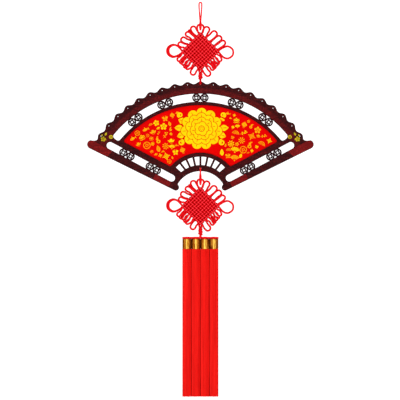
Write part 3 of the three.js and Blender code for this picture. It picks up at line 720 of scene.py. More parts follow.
def weave(shell, chance):
    low, high = -STRAND["overhang"], STRANDS + STRAND["overhang"]
    places = np.linspace(low, high, int((high - low) / STRAND["step"]) + 1)
    from_end = np.minimum(places - low, high - places)
    fullness = np.sqrt(np.clip(from_end / (3 * STRAND["overhang"]), 0.04, 1))
    end = STRAND["end"]
    width, depth = (end + (STRAND[half] - end) * fullness for half in ("half_width", "half_depth"))
    for run in ("right", "left"):
        aside = np.array([1, 0, 1 if run == "left" else -1]) * math.sqrt(0.5)
        for number in range(1, STRANDS + 1):
            path = np.array([strand_spot(run, number, place) for place in places])
            stray = np.sin(places * chance.uniform(*STRAY["waves"]) + chance.uniform(0, 6))
            path += aside * (stray * chance.uniform(*STRAY["reach"]))[:, None]
            # The marks are the strand's height towards the front, shifted at random for each strand; the
            # woven material paints its highlight and shade from them
            marks = chance.uniform(*STRAY["shade"]) - path[:, 1] / STRAND["swing"]
            tube(shell, path, width, depth, STRAND["sides"], look=1, marks=marks)
        # Core cords close the holes between strands; their lowest mark paints them in the deepest shade
        for number in range(1, STRANDS):
            ends = [(place, number) for place in (STRAND["core_inside"], STRANDS - STRAND["core_inside"])]
            spots = [weave_spot(*(end if run == "right" else end[::-1])) for end in ends]
            tube(shell, spots, STRAND["core"], sides=6, look=1, marks=[-1.0, -1.0])


# Each side of the woven square: its upper corner, the way along it, and the way out
SIDES = {
    "upper_left": ((0, 1), (-1, -1), (-1, 1)),
    "upper_right": ((0, 1), (1, -1), (1, 1)),
    "lower_left": ((-1, 0), (1, -1), (-1, -1)),
    "lower_right": ((1, 0), (-1, -1), (1, -1)),
}


def side_spot(side, at, out, y=0.0):
    """A point beside a side of the square, at a distance along it and out from it."""
    corner, along, outward = (np.array([x, 0, z], dtype=float) for x, z in SIDES[side])
    return corner * KNOT_HALF_DIAGONAL + unit(along) * at + unit(outward) * out + np.array([0, y, 0])


def leg(side, at, y=0.0):
    """Points of a cord's end, from inside the weave to just outside it."""
    return [side_spot(side, at, -LEG["inside"], y * 0.5), side_spot(side, at, LEG["outside"], y)]


def loose_cord(shell, points, radius=KNOT_CORD):
    """A cord whose two ends grow thinner inside the weave."""
    path = smooth_path(points)
    from_end = np.minimum(np.arange(len(path)), np.arange(len(path))[::-1]) * CORD_SPACING
    share = np.clip(from_end / LEG["inside"], 0, 1)
    tube(shell, path, radius * (LEG["end_share"] + (1 - LEG["end_share"]) * share), sides=9)


def ear(shell, row, chance):
    half = row["half"]
    lean = np.array([0, -row["lean"], 0])
    first = leg(row["side"], row["at"] - half * EAR_ROOT, -row["lean"])
    second = leg(row["side"], row["at"] + half * EAR_ROOT, -row["lean"])
    middle = (first[-1] + second[-1]) / 2 - lean
    x, z = (row[way] + chance.uniform(-EAR_JITTER, EAR_JITTER) for way in ("x", "z"))
    target = np.array([x, 0, z])
    outward = unit(target - middle)
    across = second[-1] - first[-1]
    across = unit(across - outward * np.dot(across, outward))
    centre = target - outward * (KNOT_CORD + half * EAR_ROUND) + lean
    length = np.linalg.norm(centre - lean - middle)
    waist = middle + outward * length * 0.5 + lean + across * row["bulge"]
    round_end = [
        centre
        - across * half * math.cos(math.radians(deg))
        + outward * half * EAR_ROUND * math.sin(math.radians(deg))
        for deg in (0, 45, 90, 135, 180)
    ]
    points = [*first, waist - across * half * 0.97, *round_end, waist + across * half * 0.97, *second[::-1]]
    loose_cord(shell, points)


def big_ear(shell, row):
    upper = leg("upper_left" if row["hand"] < 0 else "upper_right", BIG_EAR_ROOT)
    lower = leg("lower_left" if row["hand"] < 0 else "lower_right", SIDE_LENGTH - BIG_EAR_ROOT)
    middle = (row["top"] + row["bottom"]) / 2
    span = row["reach"] - KNOT_HALF_DIAGONAL

    def at(out, z):
        return np.array([row["hand"] * (KNOT_HALF_DIAGONAL + span * out), -row["lean"], z])

    above = [at(out, middle + (row["top"] - middle) * share) for out, share in BIG_EAR_SHAPE]
    below = [at(out, middle + (row["bottom"] - middle) * share) for out, share in BIG_EAR_SHAPE]
    loose_cord(shell, [*upper, *above, at(1, middle), *below[::-1], *lower[::-1]])


def top_ear(shell):
    half, middle, top = TOP_EAR["half_width"], TOP_EAR["middle"], TOP_EAR["top"]
    bend = [(-half, middle), (-half * 0.78, top - 2.6), (0, top), (half * 0.78, top - 2.6), (half, middle)]
    spots = [np.array([x, 0, z]) for x, z in bend]
    low = [np.array([side * half * 0.86, 0, middle - 7.5]) for side in (-1, 1)]
    start, end = (leg(side, TOP_EAR["root"]) for side in ("upper_left", "upper_right"))
    loose_cord(shell, [*start, low[0], *spots, low[1], *end[::-1]])


def tilted_turn(shell, z, radius, tilt_deg, cord_radius):
    """One closed turn of cord round the vertical line, tilted to the side."""
    tilt = math.radians(tilt_deg)
    points = []
    for i in range(12):
        angle = 2 * math.pi * i / 12
        x, y = radius * math.cos(angle), radius * math.sin(angle)
        points.append((x * math.cos(tilt), y, z + x * math.sin(tilt) * 1.6))
    tube(shell, smooth_path(points, 0.9, True), cord_radius, sides=8, closed=True)


def button_knot(shell, turns):
    for z, radius, tilt in turns:
        tilted_turn(shell, z, radius, tilt, BUTTON_CORD)
    top, bottom = BUTTON_TOP + BUTTON_CORE["above"], turns[-1][0]
    heights = (top, (BUTTON_TOP + bottom) / 2, bottom - BUTTON_CORE["below"])
    tube(shell, smooth_path([(0, 0, z) for z in heights]), BUTTON_CORE["radius"], sides=BUTTON_CORE["sides"])


def tails(shell):
    for hand in (-1, 1):
        start = strand_spot("left" if hand < 0 else "right", STRANDS, STRANDS - 0.45)
        loose_cord(shell, [start, *((hand * x, hand * y, up - KNOT_HALF_DIAGONAL) for x, y, up in TAIL)])


def knot_shell(turns, seed):
    shell = Shell()
    chance = random.Random(seed)
    weave(shell, random.Random(seed + 50))
    for row in EARS:
        ear(shell, row, chance)
    for row in BIG_EARS:
        big_ear(shell, row)
    top_ear(shell)
    tails(shell)
    button_knot(shell, turns)
    return shell


def lifted(shell, z):
    shell.vertices = [(x, y, height + z) for x, y, height in shell.vertices]
    return shell


def around_hole(hole_z, towards):
    """The way of a thin cord through a hole in the board, from the front round to the back."""
    face = FAN_THICKNESS / 2
    clear = face + THIN_CORD + 0.45
    half = [(clear, hole_z + towards * 9.4), (clear, hole_z + towards * 2.4), (face + 0.2, hole_z)]
    return [(0, -y, z) for y, z in half] + [(0, y, z) for y, z in reversed(half)]


def under_ear(ear_z, side):
    """The way of a thin cord under a knot's top ear, from its front, at side, to its back."""
    clear = EAR_WRAP["clear"]
    slant = clear * EAR_WRAP["slant"]
    front = [(side, -clear, ear_z), (side / 2, -slant, ear_z - slant)]
    return front + [(0, 0, ear_z - clear - EAR_WRAP["sag"])] + [(-x, -y, z) for x, y, z in front[::-1]]


def ear_wrap(shell, ear_z):
    """A bight of thin cord that hangs in front of a knot's top ear, and a collar over it."""
    clear, spread = EAR_WRAP["clear"], EAR_WRAP["spread"]
    top = ear_z + EAR_WRAP["top"]
    leg_points = [(spread * 0.6, -1.6, top + 1.5), (spread, -clear, ear_z), (spread, -clear + 0.4, ear_z - 5)]
    bight = [(-x, y, z) for x, y, z in leg_points] + [(0, -clear + 0.8, ear_z - EAR_WRAP["bight"])]
    tube(shell, smooth_path(bight + leg_points[::-1]), THIN_CORD, sides=8)
    tilted_turn(shell, top + COLLAR["rise"], COLLAR["radius"], COLLAR["tilt_deg"], THIN_CORD * COLLAR["cord"])


def hanging_loop():
    shell = Shell()
    ear_z = UPPER_KNOT_Z + TOP_EAR["top"]
    right = [(x, -y, -down) for x, y, down in LOOP_LEG]
    left = [(-x, y, -down) for x, y, down in reversed(LOOP_LEG)]
    points = [(0, 0, -THIN_CORD), *right, *under_ear(ear_z, 0.8), *left]
    tube(shell, smooth_path(points, closed=True), THIN_CORD, closed=True)
    ear_wrap(shell, ear_z)
    return shell


def link_cord():
    shell = Shell()
    hole_z = FAN_Z + LOWER_HOLE_Z
    ear_z = LOWER_KNOT_Z + TOP_EAR["top"]
    front = [(0.9, -1.9, hole_z - 17), (1.5, -1.9, hole_z - 22)]
    back = [(-x, -y, z) for x, y, z in front[::-1]]
    points = [*around_hole(hole_z, -1)[::-1], *front, *under_ear(ear_z, 1.2), *back]
    tube(shell, smooth_path(points, closed=True), LINK_CORD, closed=True)
    ear_wrap(shell, ear_z)
    return shell


def upper_tie(shell):
    """The thin cord that ties the upper button knot to the rim of the fan."""
    button_bottom = UPPER_BUTTON[-1][0] - BUTTON_CORD
    hole_z = FAN_Z + SCALLOP["hole_radius"] - UPPER_KNOT_Z
    for x in (-TIE["apart"], TIE["apart"]):
        way = [(0, button_bottom + 3), (-1.4, button_bottom), *((y, z) for _, y, z in around_hole(hole_z, 1))]
        points = [(x, y, z) for y, z in [*way, (1.4, button_bottom)]]
        tube(shell, smooth_path(points, closed=True), TIE["radius"], closed=True)


# Fan board
def fan_outline():
    half_span = SCALLOP["pitch_deg"] * (SCALLOP["count"] - 0.5) / 2
    steps = round(2 * half_span * SCALLOP["steps"] / SCALLOP["pitch_deg"])
    rim = []
    for i in range(steps + 1):
        clock = half_span * (2 * i / steps - 1)
        wave = SCALLOP["wave"] * math.cos(2 * math.pi * clock / SCALLOP["pitch_deg"])
        rim.append(on_circle(0, 0, SCALLOP["radius"] + wave, clock))
    lower_edge = 180 - SIDE_TILT + GUARD_TAPER
    tip = arc(TIP["x"], TIP["z"], TIP["radius"], TIP["from_deg"], lower_edge)
    bend = np.array([rim[-1][0], tip[0][1] - TIP["radius"] * TIP["valley"]])
    valley = quadratic(rim[-1], bend, tip[0], 6)
    knob = arc(KNOB["x"], KNOB["z"], KNOB["radius"], lower_edge, KNOB["to_deg"])
    right = valley[1:-1] + tip + knob
    half_span = LOWER_ARC["half_span_deg"]
    return rim + right + arc(0, LOWER_ARC["z"], LOWER_ARC["radius"], half_span, -half_span) + mirrored(right)


def side_meets_arc(arc_z, radius, rise):
    a = 1 + SIDE_SLOPE**2
    b = 2 * SIDE_SLOPE * (rise - arc_z)
    c = (rise - arc_z) ** 2 - radius**2
    x = (math.sqrt(b**2 - 4 * a * c) - b) / (2 * a)
    return np.array([x, rise + SIDE_SLOPE * x])


def panel_outline(grow):
    top_radius = PANEL["top_radius"] + grow
    bottom_radius = PANEL["bottom_radius"] - grow
    rise = PANEL["side_rise"] - grow / SIDE_COS
    outer = side_meets_arc(0, top_radius, rise)
    inner = side_meets_arc(PANEL["bottom_z"], bottom_radius, rise)
    top_deg = math.degrees(math.asin(outer[0] / top_radius))
    bottom_deg = math.degrees(math.asin(inner[0] / bottom_radius))
    corners = [PANEL_CORNER["outer"], PANEL_CORNER["outer"], PANEL_CORNER["inner"], PANEL_CORNER["inner"]]
    edges = [
        arc(0, 0, top_radius, -top_deg, top_deg),
        [outer, inner],
        arc(0, PANEL["bottom_z"], bottom_radius, bottom_deg, -bottom_deg),
        mirrored([outer, inner]),
    ]
    return rounded_outline(edges, corners)


def top_slot():
    half_span = TOP_SLOT["half_span_deg"]
    above = arc(0, 0, TOP_SLOT["outer"], -half_span, half_span)
    below = arc(0, 0, TOP_SLOT["inner"], half_span, -half_span)
    edges = [above, [above[-1], below[0]], below, [below[-1], above[0]]]
    return rounded_outline(edges, [TOP_SLOT["corner"]] * 4)


def side_slot_spot(x):
    return np.array([x, SIDE_SLOT["rise"] + x * SIDE_SLOPE])


def side_slot():
    outer, inner = side_slot_spot(SIDE_SLOT["outer_x"]), side_slot_spot(SIDE_SLOT["inner_x"])
    half = SIDE_SLOT["half_width"]
    return (
        arc(*outer, half, -SIDE_TILT, 180 - SIDE_TILT) + arc(*inner, half, 180 - SIDE_TILT, 360 - SIDE_TILT)
    )


def beside_rib(rib_deg, off, arc_z, radius):
    along = on_circle(0, 0, 1, rib_deg)
    start = np.array([off * along[1], WINDOW["rib_z"] - arc_z - off * along[0]])
    near = float(np.dot(start, along))
    distance = math.sqrt(near**2 - float(np.dot(start, start)) + radius**2) - near
    return start + along * distance + np.array([0, arc_z])


def window_between(left_deg, right_deg):
    half = RIB["width"] / 2
    places = [(left_deg, half), ((left_deg + right_deg) / 2, 0), (right_deg, -half)]
    top = [beside_rib(deg, off, WINDOW["top_z"], WINDOW["top_radius"]) for deg, off in places]
    bottom = [beside_rib(deg, off, WINDOW["bottom_z"], WINDOW["bottom_radius"]) for deg, off in places]
    return top + bottom[::-1]


def coin(shell, x, z, turn_deg):
    half = FRET["square"] / 2
    chord = half + FRET["bar"]
    chord_half = chord - FRET["bar"] / 2
    arch_half = chord_half * FRET["slit_taper"]
    arch = math.sqrt(FRET["ring_inner"] ** 2 - arch_half**2)
    widest = math.degrees(math.asin(arch_half / FRET["ring_inner"]))
    slit = [(-chord_half, chord), (chord_half, chord), (arch_half, arch)]
    slit += [tuple(on_circle(0, 0, FRET["ring_inner"], widest * share)) for share in (0.5, 0, -0.5)]
    slit += [(-arch_half, arch)]
    front, back = FAN_FRONT + COIN["recess"], -FAN_FRONT - COIN["recess"]
    levels = even_levels(front, back, FINE_BEVEL)
    outlines = [(ring(x, z, COIN["radius"], 40), levels), (square(half, -turn_deg, x, z), levels)]
    for quarter in (0, 90, 180, 270):
        outlines.append((turned(slit, quarter - turn_deg, 1, x, z), levels))
    plate(shell, outlines, (1, 1))


def coins(shell):
    middle = (TOP_SLOT["inner"] + TOP_SLOT["outer"]) / 2
    half_deg = math.degrees(COIN["half_spacing"] / middle)
    for pair_deg in COIN_PAIRS_TOP_DEG:
        for hand in (-1, 1):
            clock = pair_deg + hand * half_deg
            coin(shell, *on_circle(0, 0, middle, clock), clock)
    step = COIN["half_spacing"] * SIDE_COS
    for pair_x in COIN_PAIRS_SIDE_X:
        for offset in (-step, step):
            x, z = side_slot_spot(pair_x + offset)
            coin(shell, x, z, -SIDE_TILT)
            coin(shell, -x, z, SIDE_TILT)


def fan_board():
    shell = Shell()
    back = -FAN_FRONT
    rabbet = even_levels(FAN_FRONT, back, BEVEL)[:3]
    rabbet += [(FAN_FRONT + LIP, 0), (FAN_FRONT + LIP, LEDGE), (back - FINE_BEVEL, LEDGE)]
    rabbet += [(back, LEDGE + FINE_BEVEL)]
    broad = even_levels(FAN_FRONT, back, BEVEL)
    fine = even_levels(FAN_FRONT, back, HOLE_BEVEL)
    slim = even_levels(FAN_FRONT, back, BEVEL * 0.6)
    outlines = [(fan_outline(), broad), (panel_outline(0), rabbet)]
    outlines += [(slot, broad) for slot in (top_slot(), side_slot(), mirrored(side_slot()))]
    middle = (SCALLOP["count"] - 1) / 2
    for i in range(SCALLOP["count"]):
        clock = (i - middle) * SCALLOP["pitch_deg"]
        radius = TIED_HOLE if i == middle else RIM_HOLE
        outlines.append((ring(*on_circle(0, 0, SCALLOP["hole_radius"], clock), radius), fine))
    outlines.append((ring(0, LOWER_HOLE_Z, TIED_HOLE), fine))
    last_rib = (RIB["count"] + 1) / 2
    for i in range(RIB["count"] + 1):
        pitch = RIB["pitch_deg"]
        outlines.append((window_between((i - last_rib) * pitch, (i + 1 - last_rib) * pitch), slim))
    plate(shell, outlines)
    coins(shell)
    for hand in (-1, 1):
        corner_sprig(shell, hand)
    return shell


# Prints
def oval(x, z, half_width, half_height, turn=0.0, sides=22):
    angles = np.linspace(0, 2 * math.pi, sides + 1)[:-1]
    points = [(half_width * math.cos(angle), half_height * math.sin(angle)) for angle in angles]
    return turned(points, turn, 1, x, z)


def square(half, turn=0.0, x=0.0, z=0.0):
    return turned([(-half, -half), (half, -half), (half, half), (-half, half)], turn, 1, x, z)


def petal(length, half_width, turn=0.0, x=0.0, z=0.0, point=0.8, start=0.0):
    """A pointed petal that grows up from its foot; turn is clockwise, in degrees."""
    shares = np.linspace(0, 1, 13)
    right = [(half_width * math.sin(math.pi * share**point), start + length * share) for share in shares]
    left = [(-px, pz) for px, pz in reversed(right[1:-1])]
    return turned(right + left, -turn, 1, x, z)


def strip(points, half_width):
    """A line of even width with pointed ends."""
    path = np.array(points, dtype=float)
    ahead = unit(np.gradient(path, axis=0))
    normal = np.stack([-ahead[:, 1], ahead[:, 0]], axis=1)
    width = half_width * np.minimum(1, 4 * np.sin(np.linspace(0.02, math.pi - 0.02, len(path))))[:, None]
    return list(path + normal * width) + list(path - normal * width)[::-1]


def curl(x, z, radius, turns, hand=1, start_deg=0.0, grow=0.75):
    angles = np.linspace(0, 2 * math.pi * turns, int(14 * turns) + 4)
    shrink = 1 - grow * angles / angles[-1]
    start = math.radians(start_deg)
    return [
        (x + hand * radius * s * math.cos(a + start), z + radius * s * math.sin(a + start))
        for a, s in zip(angles, shrink)
    ]


def plain(*outlines):
    return [(outline, []) for outline in outlines]


# Each motif is a list of (outline, holes) in a circle of radius 1
BLOSSOM = plain(*(oval(*on_circle(0, 0, 0.62, 72 * i), 0.33, 0.33) for i in range(5)), ring(0, 0, 0.2, 14))
COIN_PRINT = [
    (ring(0, 0, 1, 28), [ring(0, 0, 0.84, 28)]),
    *plain(*(petal(0.3, 0.1, turn, start=0.52) for turn in (0, 90, 180, 270))),
    (square(0.34), [square(0.34 * 0.6)]),
]
STAR = [
    *plain(*(petal(0.55, 0.15, 45 * i, start=0.42) for i in range(8))),
    (ring(0, 0, 0.32, 16), [ring(0, 0, 0.14, 12)]),
]
CLOUD = plain(
    *(strip(curl(-0.42 * hand, 0.05, 0.42, 1.4, hand, -60), 0.085) for hand in (1, -1)),
    strip([(-0.9, -0.5), (-0.4, -0.62), (0, -0.52), (0.4, -0.62), (0.9, -0.5)], 0.07),
    oval(0, 0.62, 0.2, 0.13),
)
LEAF_PRINT = [(petal(1.9, 0.52, 0, 0, -0.95), [strip([(0, -0.5), (0, -0.1), (0, 0.3), (0, 0.62)], 0.05)])]
LANTERN_SLITS = [strip([(x, -0.3), (x * 1.25, 0), (x, 0.3)], 0.05) for x in (-0.32, 0.001, 0.32)]
LANTERN = [
    (oval(0, 0.05, 0.72, 0.5), LANTERN_SLITS),
    *plain(
        [(-0.3, 0.6), (0.3, 0.6), (0.3, 0.72), (-0.3, 0.72)],
        [(-0.3, -0.62), (0.3, -0.62), (0.3, -0.5), (-0.3, -0.5)],
        *(strip([(0.12 * hand, -0.66), (0.14 * hand, -0.8), (0.12 * hand, -1)], 0.05) for hand in (-1, 1)),
        strip([(0, 0.74), (0.03, 0.86), (0, 1)], 0.05),
    ),
]
GOURD_ANGLES = np.linspace(0, 2 * math.pi, 30)[:-1]
GOURD = [
    ([(0.55 * math.sin(a), -0.42 - 0.52 * math.cos(a)) for a in GOURD_ANGLES], [oval(0, -0.42, 0.2, 0.2)]),
    *plain(
        oval(0, 0.36, 0.33, 0.3),
        strip([(0, 0.68), (0.06, 0.84), (0.2, 0.96)], 0.06),
        petal(0.6, 0.14, 60, 0.1, 0.66),
    ),
]
GILL = strip([(-0.34, 0.22), (-0.27, 0), (-0.34, -0.22)], 0.045)
FISH = [
    (oval(-0.18, 0, 0.68, 0.34), [oval(-0.56, 0.08, 0.07, 0.07), GILL]),
    *plain([(0.5, 0), (0.98, 0.42), (0.84, 0), (0.98, -0.42)], petal(0.4, 0.12, -20, -0.05, 0.34)),
]
FAN_FOLD = ((0.5, 1.8), (1.5, 1.8), (1.5, 18.2), (0.5, 18.2))
FAN_PRINT = plain(
    *([on_circle(0, -0.6, radius, 20 * i - 60 + turn) for radius, turn in FAN_FOLD] for i in range(6)),
    ring(0, -0.55, 0.2, 12),
)
LATTICE_STEP = 0.36 / math.sqrt(2)
LATTICE_HOLES = [
    square(0.11, 45, (row - column) * LATTICE_STEP, (row + column) * LATTICE_STEP)
    for row in (-1, 0, 1) for column in (-1, 0, 1)
]
LATTICE = [
    (square(0.6, 45), LATTICE_HOLES),
    *plain(*(ring(*on_circle(0, 0, 0.93, clock), 0.13, 12) for clock in (0, 90, 180, 270))),
]
BUTTERFLY = plain(
    *(petal(0.95, 0.32, turn, 0, 0.05, 1.1) for turn in (-58, 58)),
    *(petal(0.72, 0.24, turn, 0, -0.1, 1.1) for turn in (-128, 128)),
    *(strip([(0.16 * hand, 0.5), (0.2 * hand, 0.75), (0.34 * hand, 0.95)], 0.045) for hand in (-1, 1)),
)
INGOT = plain(
    [(-0.95, 0.15), (-0.6, -0.45), (0.6, -0.45), (0.95, 0.15), (0.45, 0), (-0.45, 0)],
    oval(0, 0.2, 0.36, 0.26),
    strip([(-0.5, -0.66), (0, -0.72), (0.5, -0.66)], 0.05),
)
WAVE = plain(*(
    strip([on_circle(0, -0.45, radius * 1.1, clock) for clock in range(-88, 89, 16)], 0.075)
    for radius in (0.3, 0.58, 0.86)
))
BRANCH = plain(
    strip([(-0.9, -0.8), (-0.4, -0.3), (0, 0), (0.35, 0.5), (0.4, 0.95)], 0.06),
    petal(0.5, 0.15, 80, 0.08, 0.02),
    petal(0.45, 0.14, -40, -0.35, -0.2),
    ring(0.1, 0.62, 0.17, 12),
    ring(0.66, 0.48, 0.15, 12),
    petal(0.4, 0.13, 120, -0.4, -0.4),
)
MOTIFS = [
    BLOSSOM, COIN_PRINT, FISH, LANTERN, CLOUD, GOURD, LATTICE, LEAF_PRINT, BUTTERFLY, INGOT, STAR, FAN_PRINT,
    WAVE, BRANCH,
]
# Where the motifs lie: they are thrown at random, large ones first, and kept where they have room
MOTIF_THROWS = table("size tries", (9.4, 900), (8.2, 2500), (6.8, 4000), (5.4, 5000), (4.2, 5000))
MOTIF = {
    "edge": 1.8, "apart": 0.7, "tilt_deg": 16, "lean": 0.12, "swell": 1.02, "step": 0.004,
    "half_width": 245, "low": 90, "high": 266,
}
PEONY_CLEAR = {"half_width": 77, "half_height": 60}


def room_on_panel(x, z):
    """The distance from a point to the nearest edge of the panel."""
    above_side = (z - PANEL["side_rise"] - abs(x) * SIDE_SLOPE) * SIDE_COS
    below_top = PANEL["top_radius"] - math.hypot(x, z)
    return min(above_side, below_top, math.hypot(x, z - PANEL["bottom_z"]) - PANEL["bottom_radius"]) - LEDGE


def stamp(shell, motif, x, z, size, turn, front, look, height=FOIL):
    """Prints a motif as a thin raised foil on the face whose y is front."""
    for number, (outline, holes) in enumerate(motif):
        levels = [(front - height - number * MOTIF["step"], 0), (front + PRINT_SINK, 0)]
        loops = [turned(points, turn, size, x, z) for points in (outline, *holes)]
        plate(shell, [(loop, levels) for loop in loops], (look, look))


def motif_places(chance):
    kept = []
    for row in MOTIF_THROWS:
        size = row["size"]
        for _ in range(row["tries"]):
            x = chance.uniform(-MOTIF["half_width"], MOTIF["half_width"])
            z = chance.uniform(MOTIF["low"], MOTIF["high"])
            off = ((x - PEONY["x"]) / (PEONY_CLEAR["half_width"] + size),
                   (z - PEONY["z"]) / (PEONY_CLEAR["half_height"] + size))
            if room_on_panel(x, z) < size + MOTIF["edge"] or math.hypot(*off) < 1:
                continue
            if all(math.hypot(x - px, z - pz) > size + other + MOTIF["apart"] for px, pz, other in kept):
                kept.append((x, z, size))
    return kept


def small_motifs(shell, chance):
    """Mixed motifs strewn around the flower."""
    deck = []
    for x, z, size in motif_places(chance):
        if not deck:
            deck = chance.sample(MOTIFS, len(MOTIFS))
        tilt = chance.uniform(-1, 1) * MOTIF["tilt_deg"] - x * MOTIF["lean"]
        stamp(shell, deck.pop(), x, z, size * MOTIF["swell"], tilt, PANEL_FRONT, chance.choice((2, 3, 3)))


def scalloped(radius, lobes, depth, turn, x, z):
    """The outline of a round blossom with rounded lobes and sharp notches."""
    points = []
    for angle in np.linspace(0, 2 * math.pi, lobes * 12 + 1)[:-1]:
        reach = radius * (1 - depth + depth * abs(math.sin(lobes * angle / 2)) ** 0.6)
        points.append((reach * math.cos(angle), reach * math.sin(angle)))
    return turned(points, turn, 1, x, z)


PEONY_LAYERS = table(
    "radius lobes depth turn veins",
    (55, 11, 0.17, 8, (0.74, 0.8, 0.86, 0.92)),
    (42, 9, 0.18, 30, (0.68, 0.76, 0.84, 0.9)),
    (30, 7, 0.2, 12, (0.6, 0.7, 0.8, 0.88)),
    (18.5, 5, 0.22, 40, ()),
)
# Leaves of the flower: clock angle and length
PEONY_LEAVES = [(-108, 20), (-88, 24), (-68, 18), (108, 20), (88, 24), (68, 18)]
LEAF = {"half_width": 8.2, "point": 0.85, "tucked": 7, "vein": (0, 0.2, 0.4, 0.62), "vein_half": 0.8}
LOBE_VEIN = 0.75
CURLS = table("x z radius start", (54, -36, 8, 80), (57, 36, 7, -80))
CURL = {"turns": 1.5, "half_width": 1.9}
SEEDS = {"outer": 8.4, "inner": 6.9, "count": 6, "circle": 4.4, "radius": 1.1, "heart": 1.6}


def peony(shell):
    """The large flower in the middle of the panel: lobed layers with a red line round each, and leaves."""
    x, z = PEONY["x"], PEONY["z"]
    foot = [(PANEL_FRONT - FOIL, 0), (PANEL_FRONT + PRINT_SINK, 0)]
    start = PEONY_LAYERS[0]["radius"]
    for turn, length in PEONY_LEAVES:
        leaf = petal(length, LEAF["half_width"], turn, x, z, LEAF["point"], start - LEAF["tucked"])
        line = strip([(0, start + length * share) for share in LEAF["vein"]], LEAF["vein_half"])
        plate(shell, [(leaf, foot), (turned(line, -turn, 1, x, z), foot)], (2, 2))
    for number, row in enumerate(PEONY_LAYERS):
        outline = scalloped(row["radius"], row["lobes"], row["depth"], row["turn"], x, z)
        top = PANEL_FRONT - (FOIL + (2 * number + 1) * LAYER)
        wide = inset(wound(outline, True), -PEONY_LINE)
        plate(shell, [(list(wide), [(top, 0), (PANEL_FRONT + PRINT_SINK, 0)])], (0, 0))
        high = [(top - LAYER, 0), (top + 0.03, 0)]
        outlines = [(outline, high)]
        for lobe in range(row["lobes"] if row["veins"] else 0):
            angle = row["turn"] + 360 * (lobe + 0.5) / row["lobes"]
            vein = strip([(0, row["radius"] * share) for share in row["veins"]], LOBE_VEIN)
            outlines.append((turned(vein, angle - 90, 1, x, z), high))
        plate(shell, outlines, (2, 2))
    seeds(shell, x, z, PANEL_FRONT - FOIL - 2 * len(PEONY_LAYERS) * LAYER)
    for hand in (-1, 1):
        for row in CURLS:
            way = curl(x + hand * row["x"], z + row["z"], row["radius"], CURL["turns"], hand, row["start"])
            plate(shell, [(strip(way, CURL["half_width"]), foot)], (2, 2))


def seeds(shell, x, z, top):
    """Red rings and a gold dot in the heart of the flower."""
    red, gold = ([(top - rise * LAYER, 0), (top + 0.05, 0)] for rise in (1, 2))
    plate(shell, [(ring(x, z, SEEDS[edge], 28), red) for edge in ("outer", "inner")], (0, 0))
    for i in range(SEEDS["count"]):
        spot = on_circle(x, z, SEEDS["circle"], 360 / SEEDS["count"] * i)
        plate(shell, [(ring(*spot, SEEDS["radius"], 12), red)], (0, 0))
    plate(shell, [(ring(x, z, SEEDS["heart"], 14), gold)], (2, 2))


def fan_panel():
    shell = Shell()
    back = PANEL_FRONT + PANEL_THICKNESS
    plate(shell, [(panel_outline(LEDGE - PANEL_GAP), even_levels(PANEL_FRONT, back, 0.2))], (0, 1))
    small_motifs(shell, random.Random(11))
    peony(shell)
    return shell


# A small printed flower, three leaves and a ringed dot on the wood at the fan's right corner
SPRIG = table(
    "motif x z size turn",
    (BLOSSOM, 257, 176, 7.4, 10),
    (plain(petal(1.6, 0.42)), 252.5, 185, 6.2, 28),
    (plain(petal(1.3, 0.36)), 249, 174, 5.6, -74),
    (plain(petal(1.1, 0.34)), 262, 184, 5.2, 38),
    ([(ring(0, 0, 1, 24), [ring(0, 0, 0.62, 20)]), (ring(0, 0, 0.34, 14), [])], 236.8, 181.6, 5, 0),
)


def corner_sprig(shell, hand):
    for row in SPRIG:
        stamp(shell, row["motif"], hand * row["x"], row["z"], row["size"], hand * row["turn"], FAN_FRONT, 2)


# Caps and tassels
def tassel_bar():
    """A cord laid over the caps, a little thicker over each, and drawn up into the button knot."""
    shell = Shell()
    path = smooth_path(BAR["way"], BAR["step"])
    swell = BAR["bump"] * np.cos(2 * math.pi * (np.abs(path[:, 0]) - TASSEL_PITCH / 2) / TASSEL_PITCH)
    ends = np.clip((BAR["half_length"] - np.abs(path[:, 0])) / BAR["end"], 0.12, 1) ** 0.5
    tube(shell, path, (BAR["radius"] + swell) * ends, sides=12)
    stem = smooth_path(BAR["stem"], BAR["step"])
    tube(shell, stem, np.linspace(*BAR["stem_radius"], len(stem)), sides=10)
    for i in range(TASSELS):
        x = (i - (TASSELS - 1) / 2) * TASSEL_PITCH
        lathe(shell, BAR["foot"], 20, x, CAP_TOP + 0.02)
    return shell


def brass_cap(x):
    shell = Shell()
    lathe(shell, CAP_PROFILE, CAP_SIDES, x, CAP_TOP)
    return shell


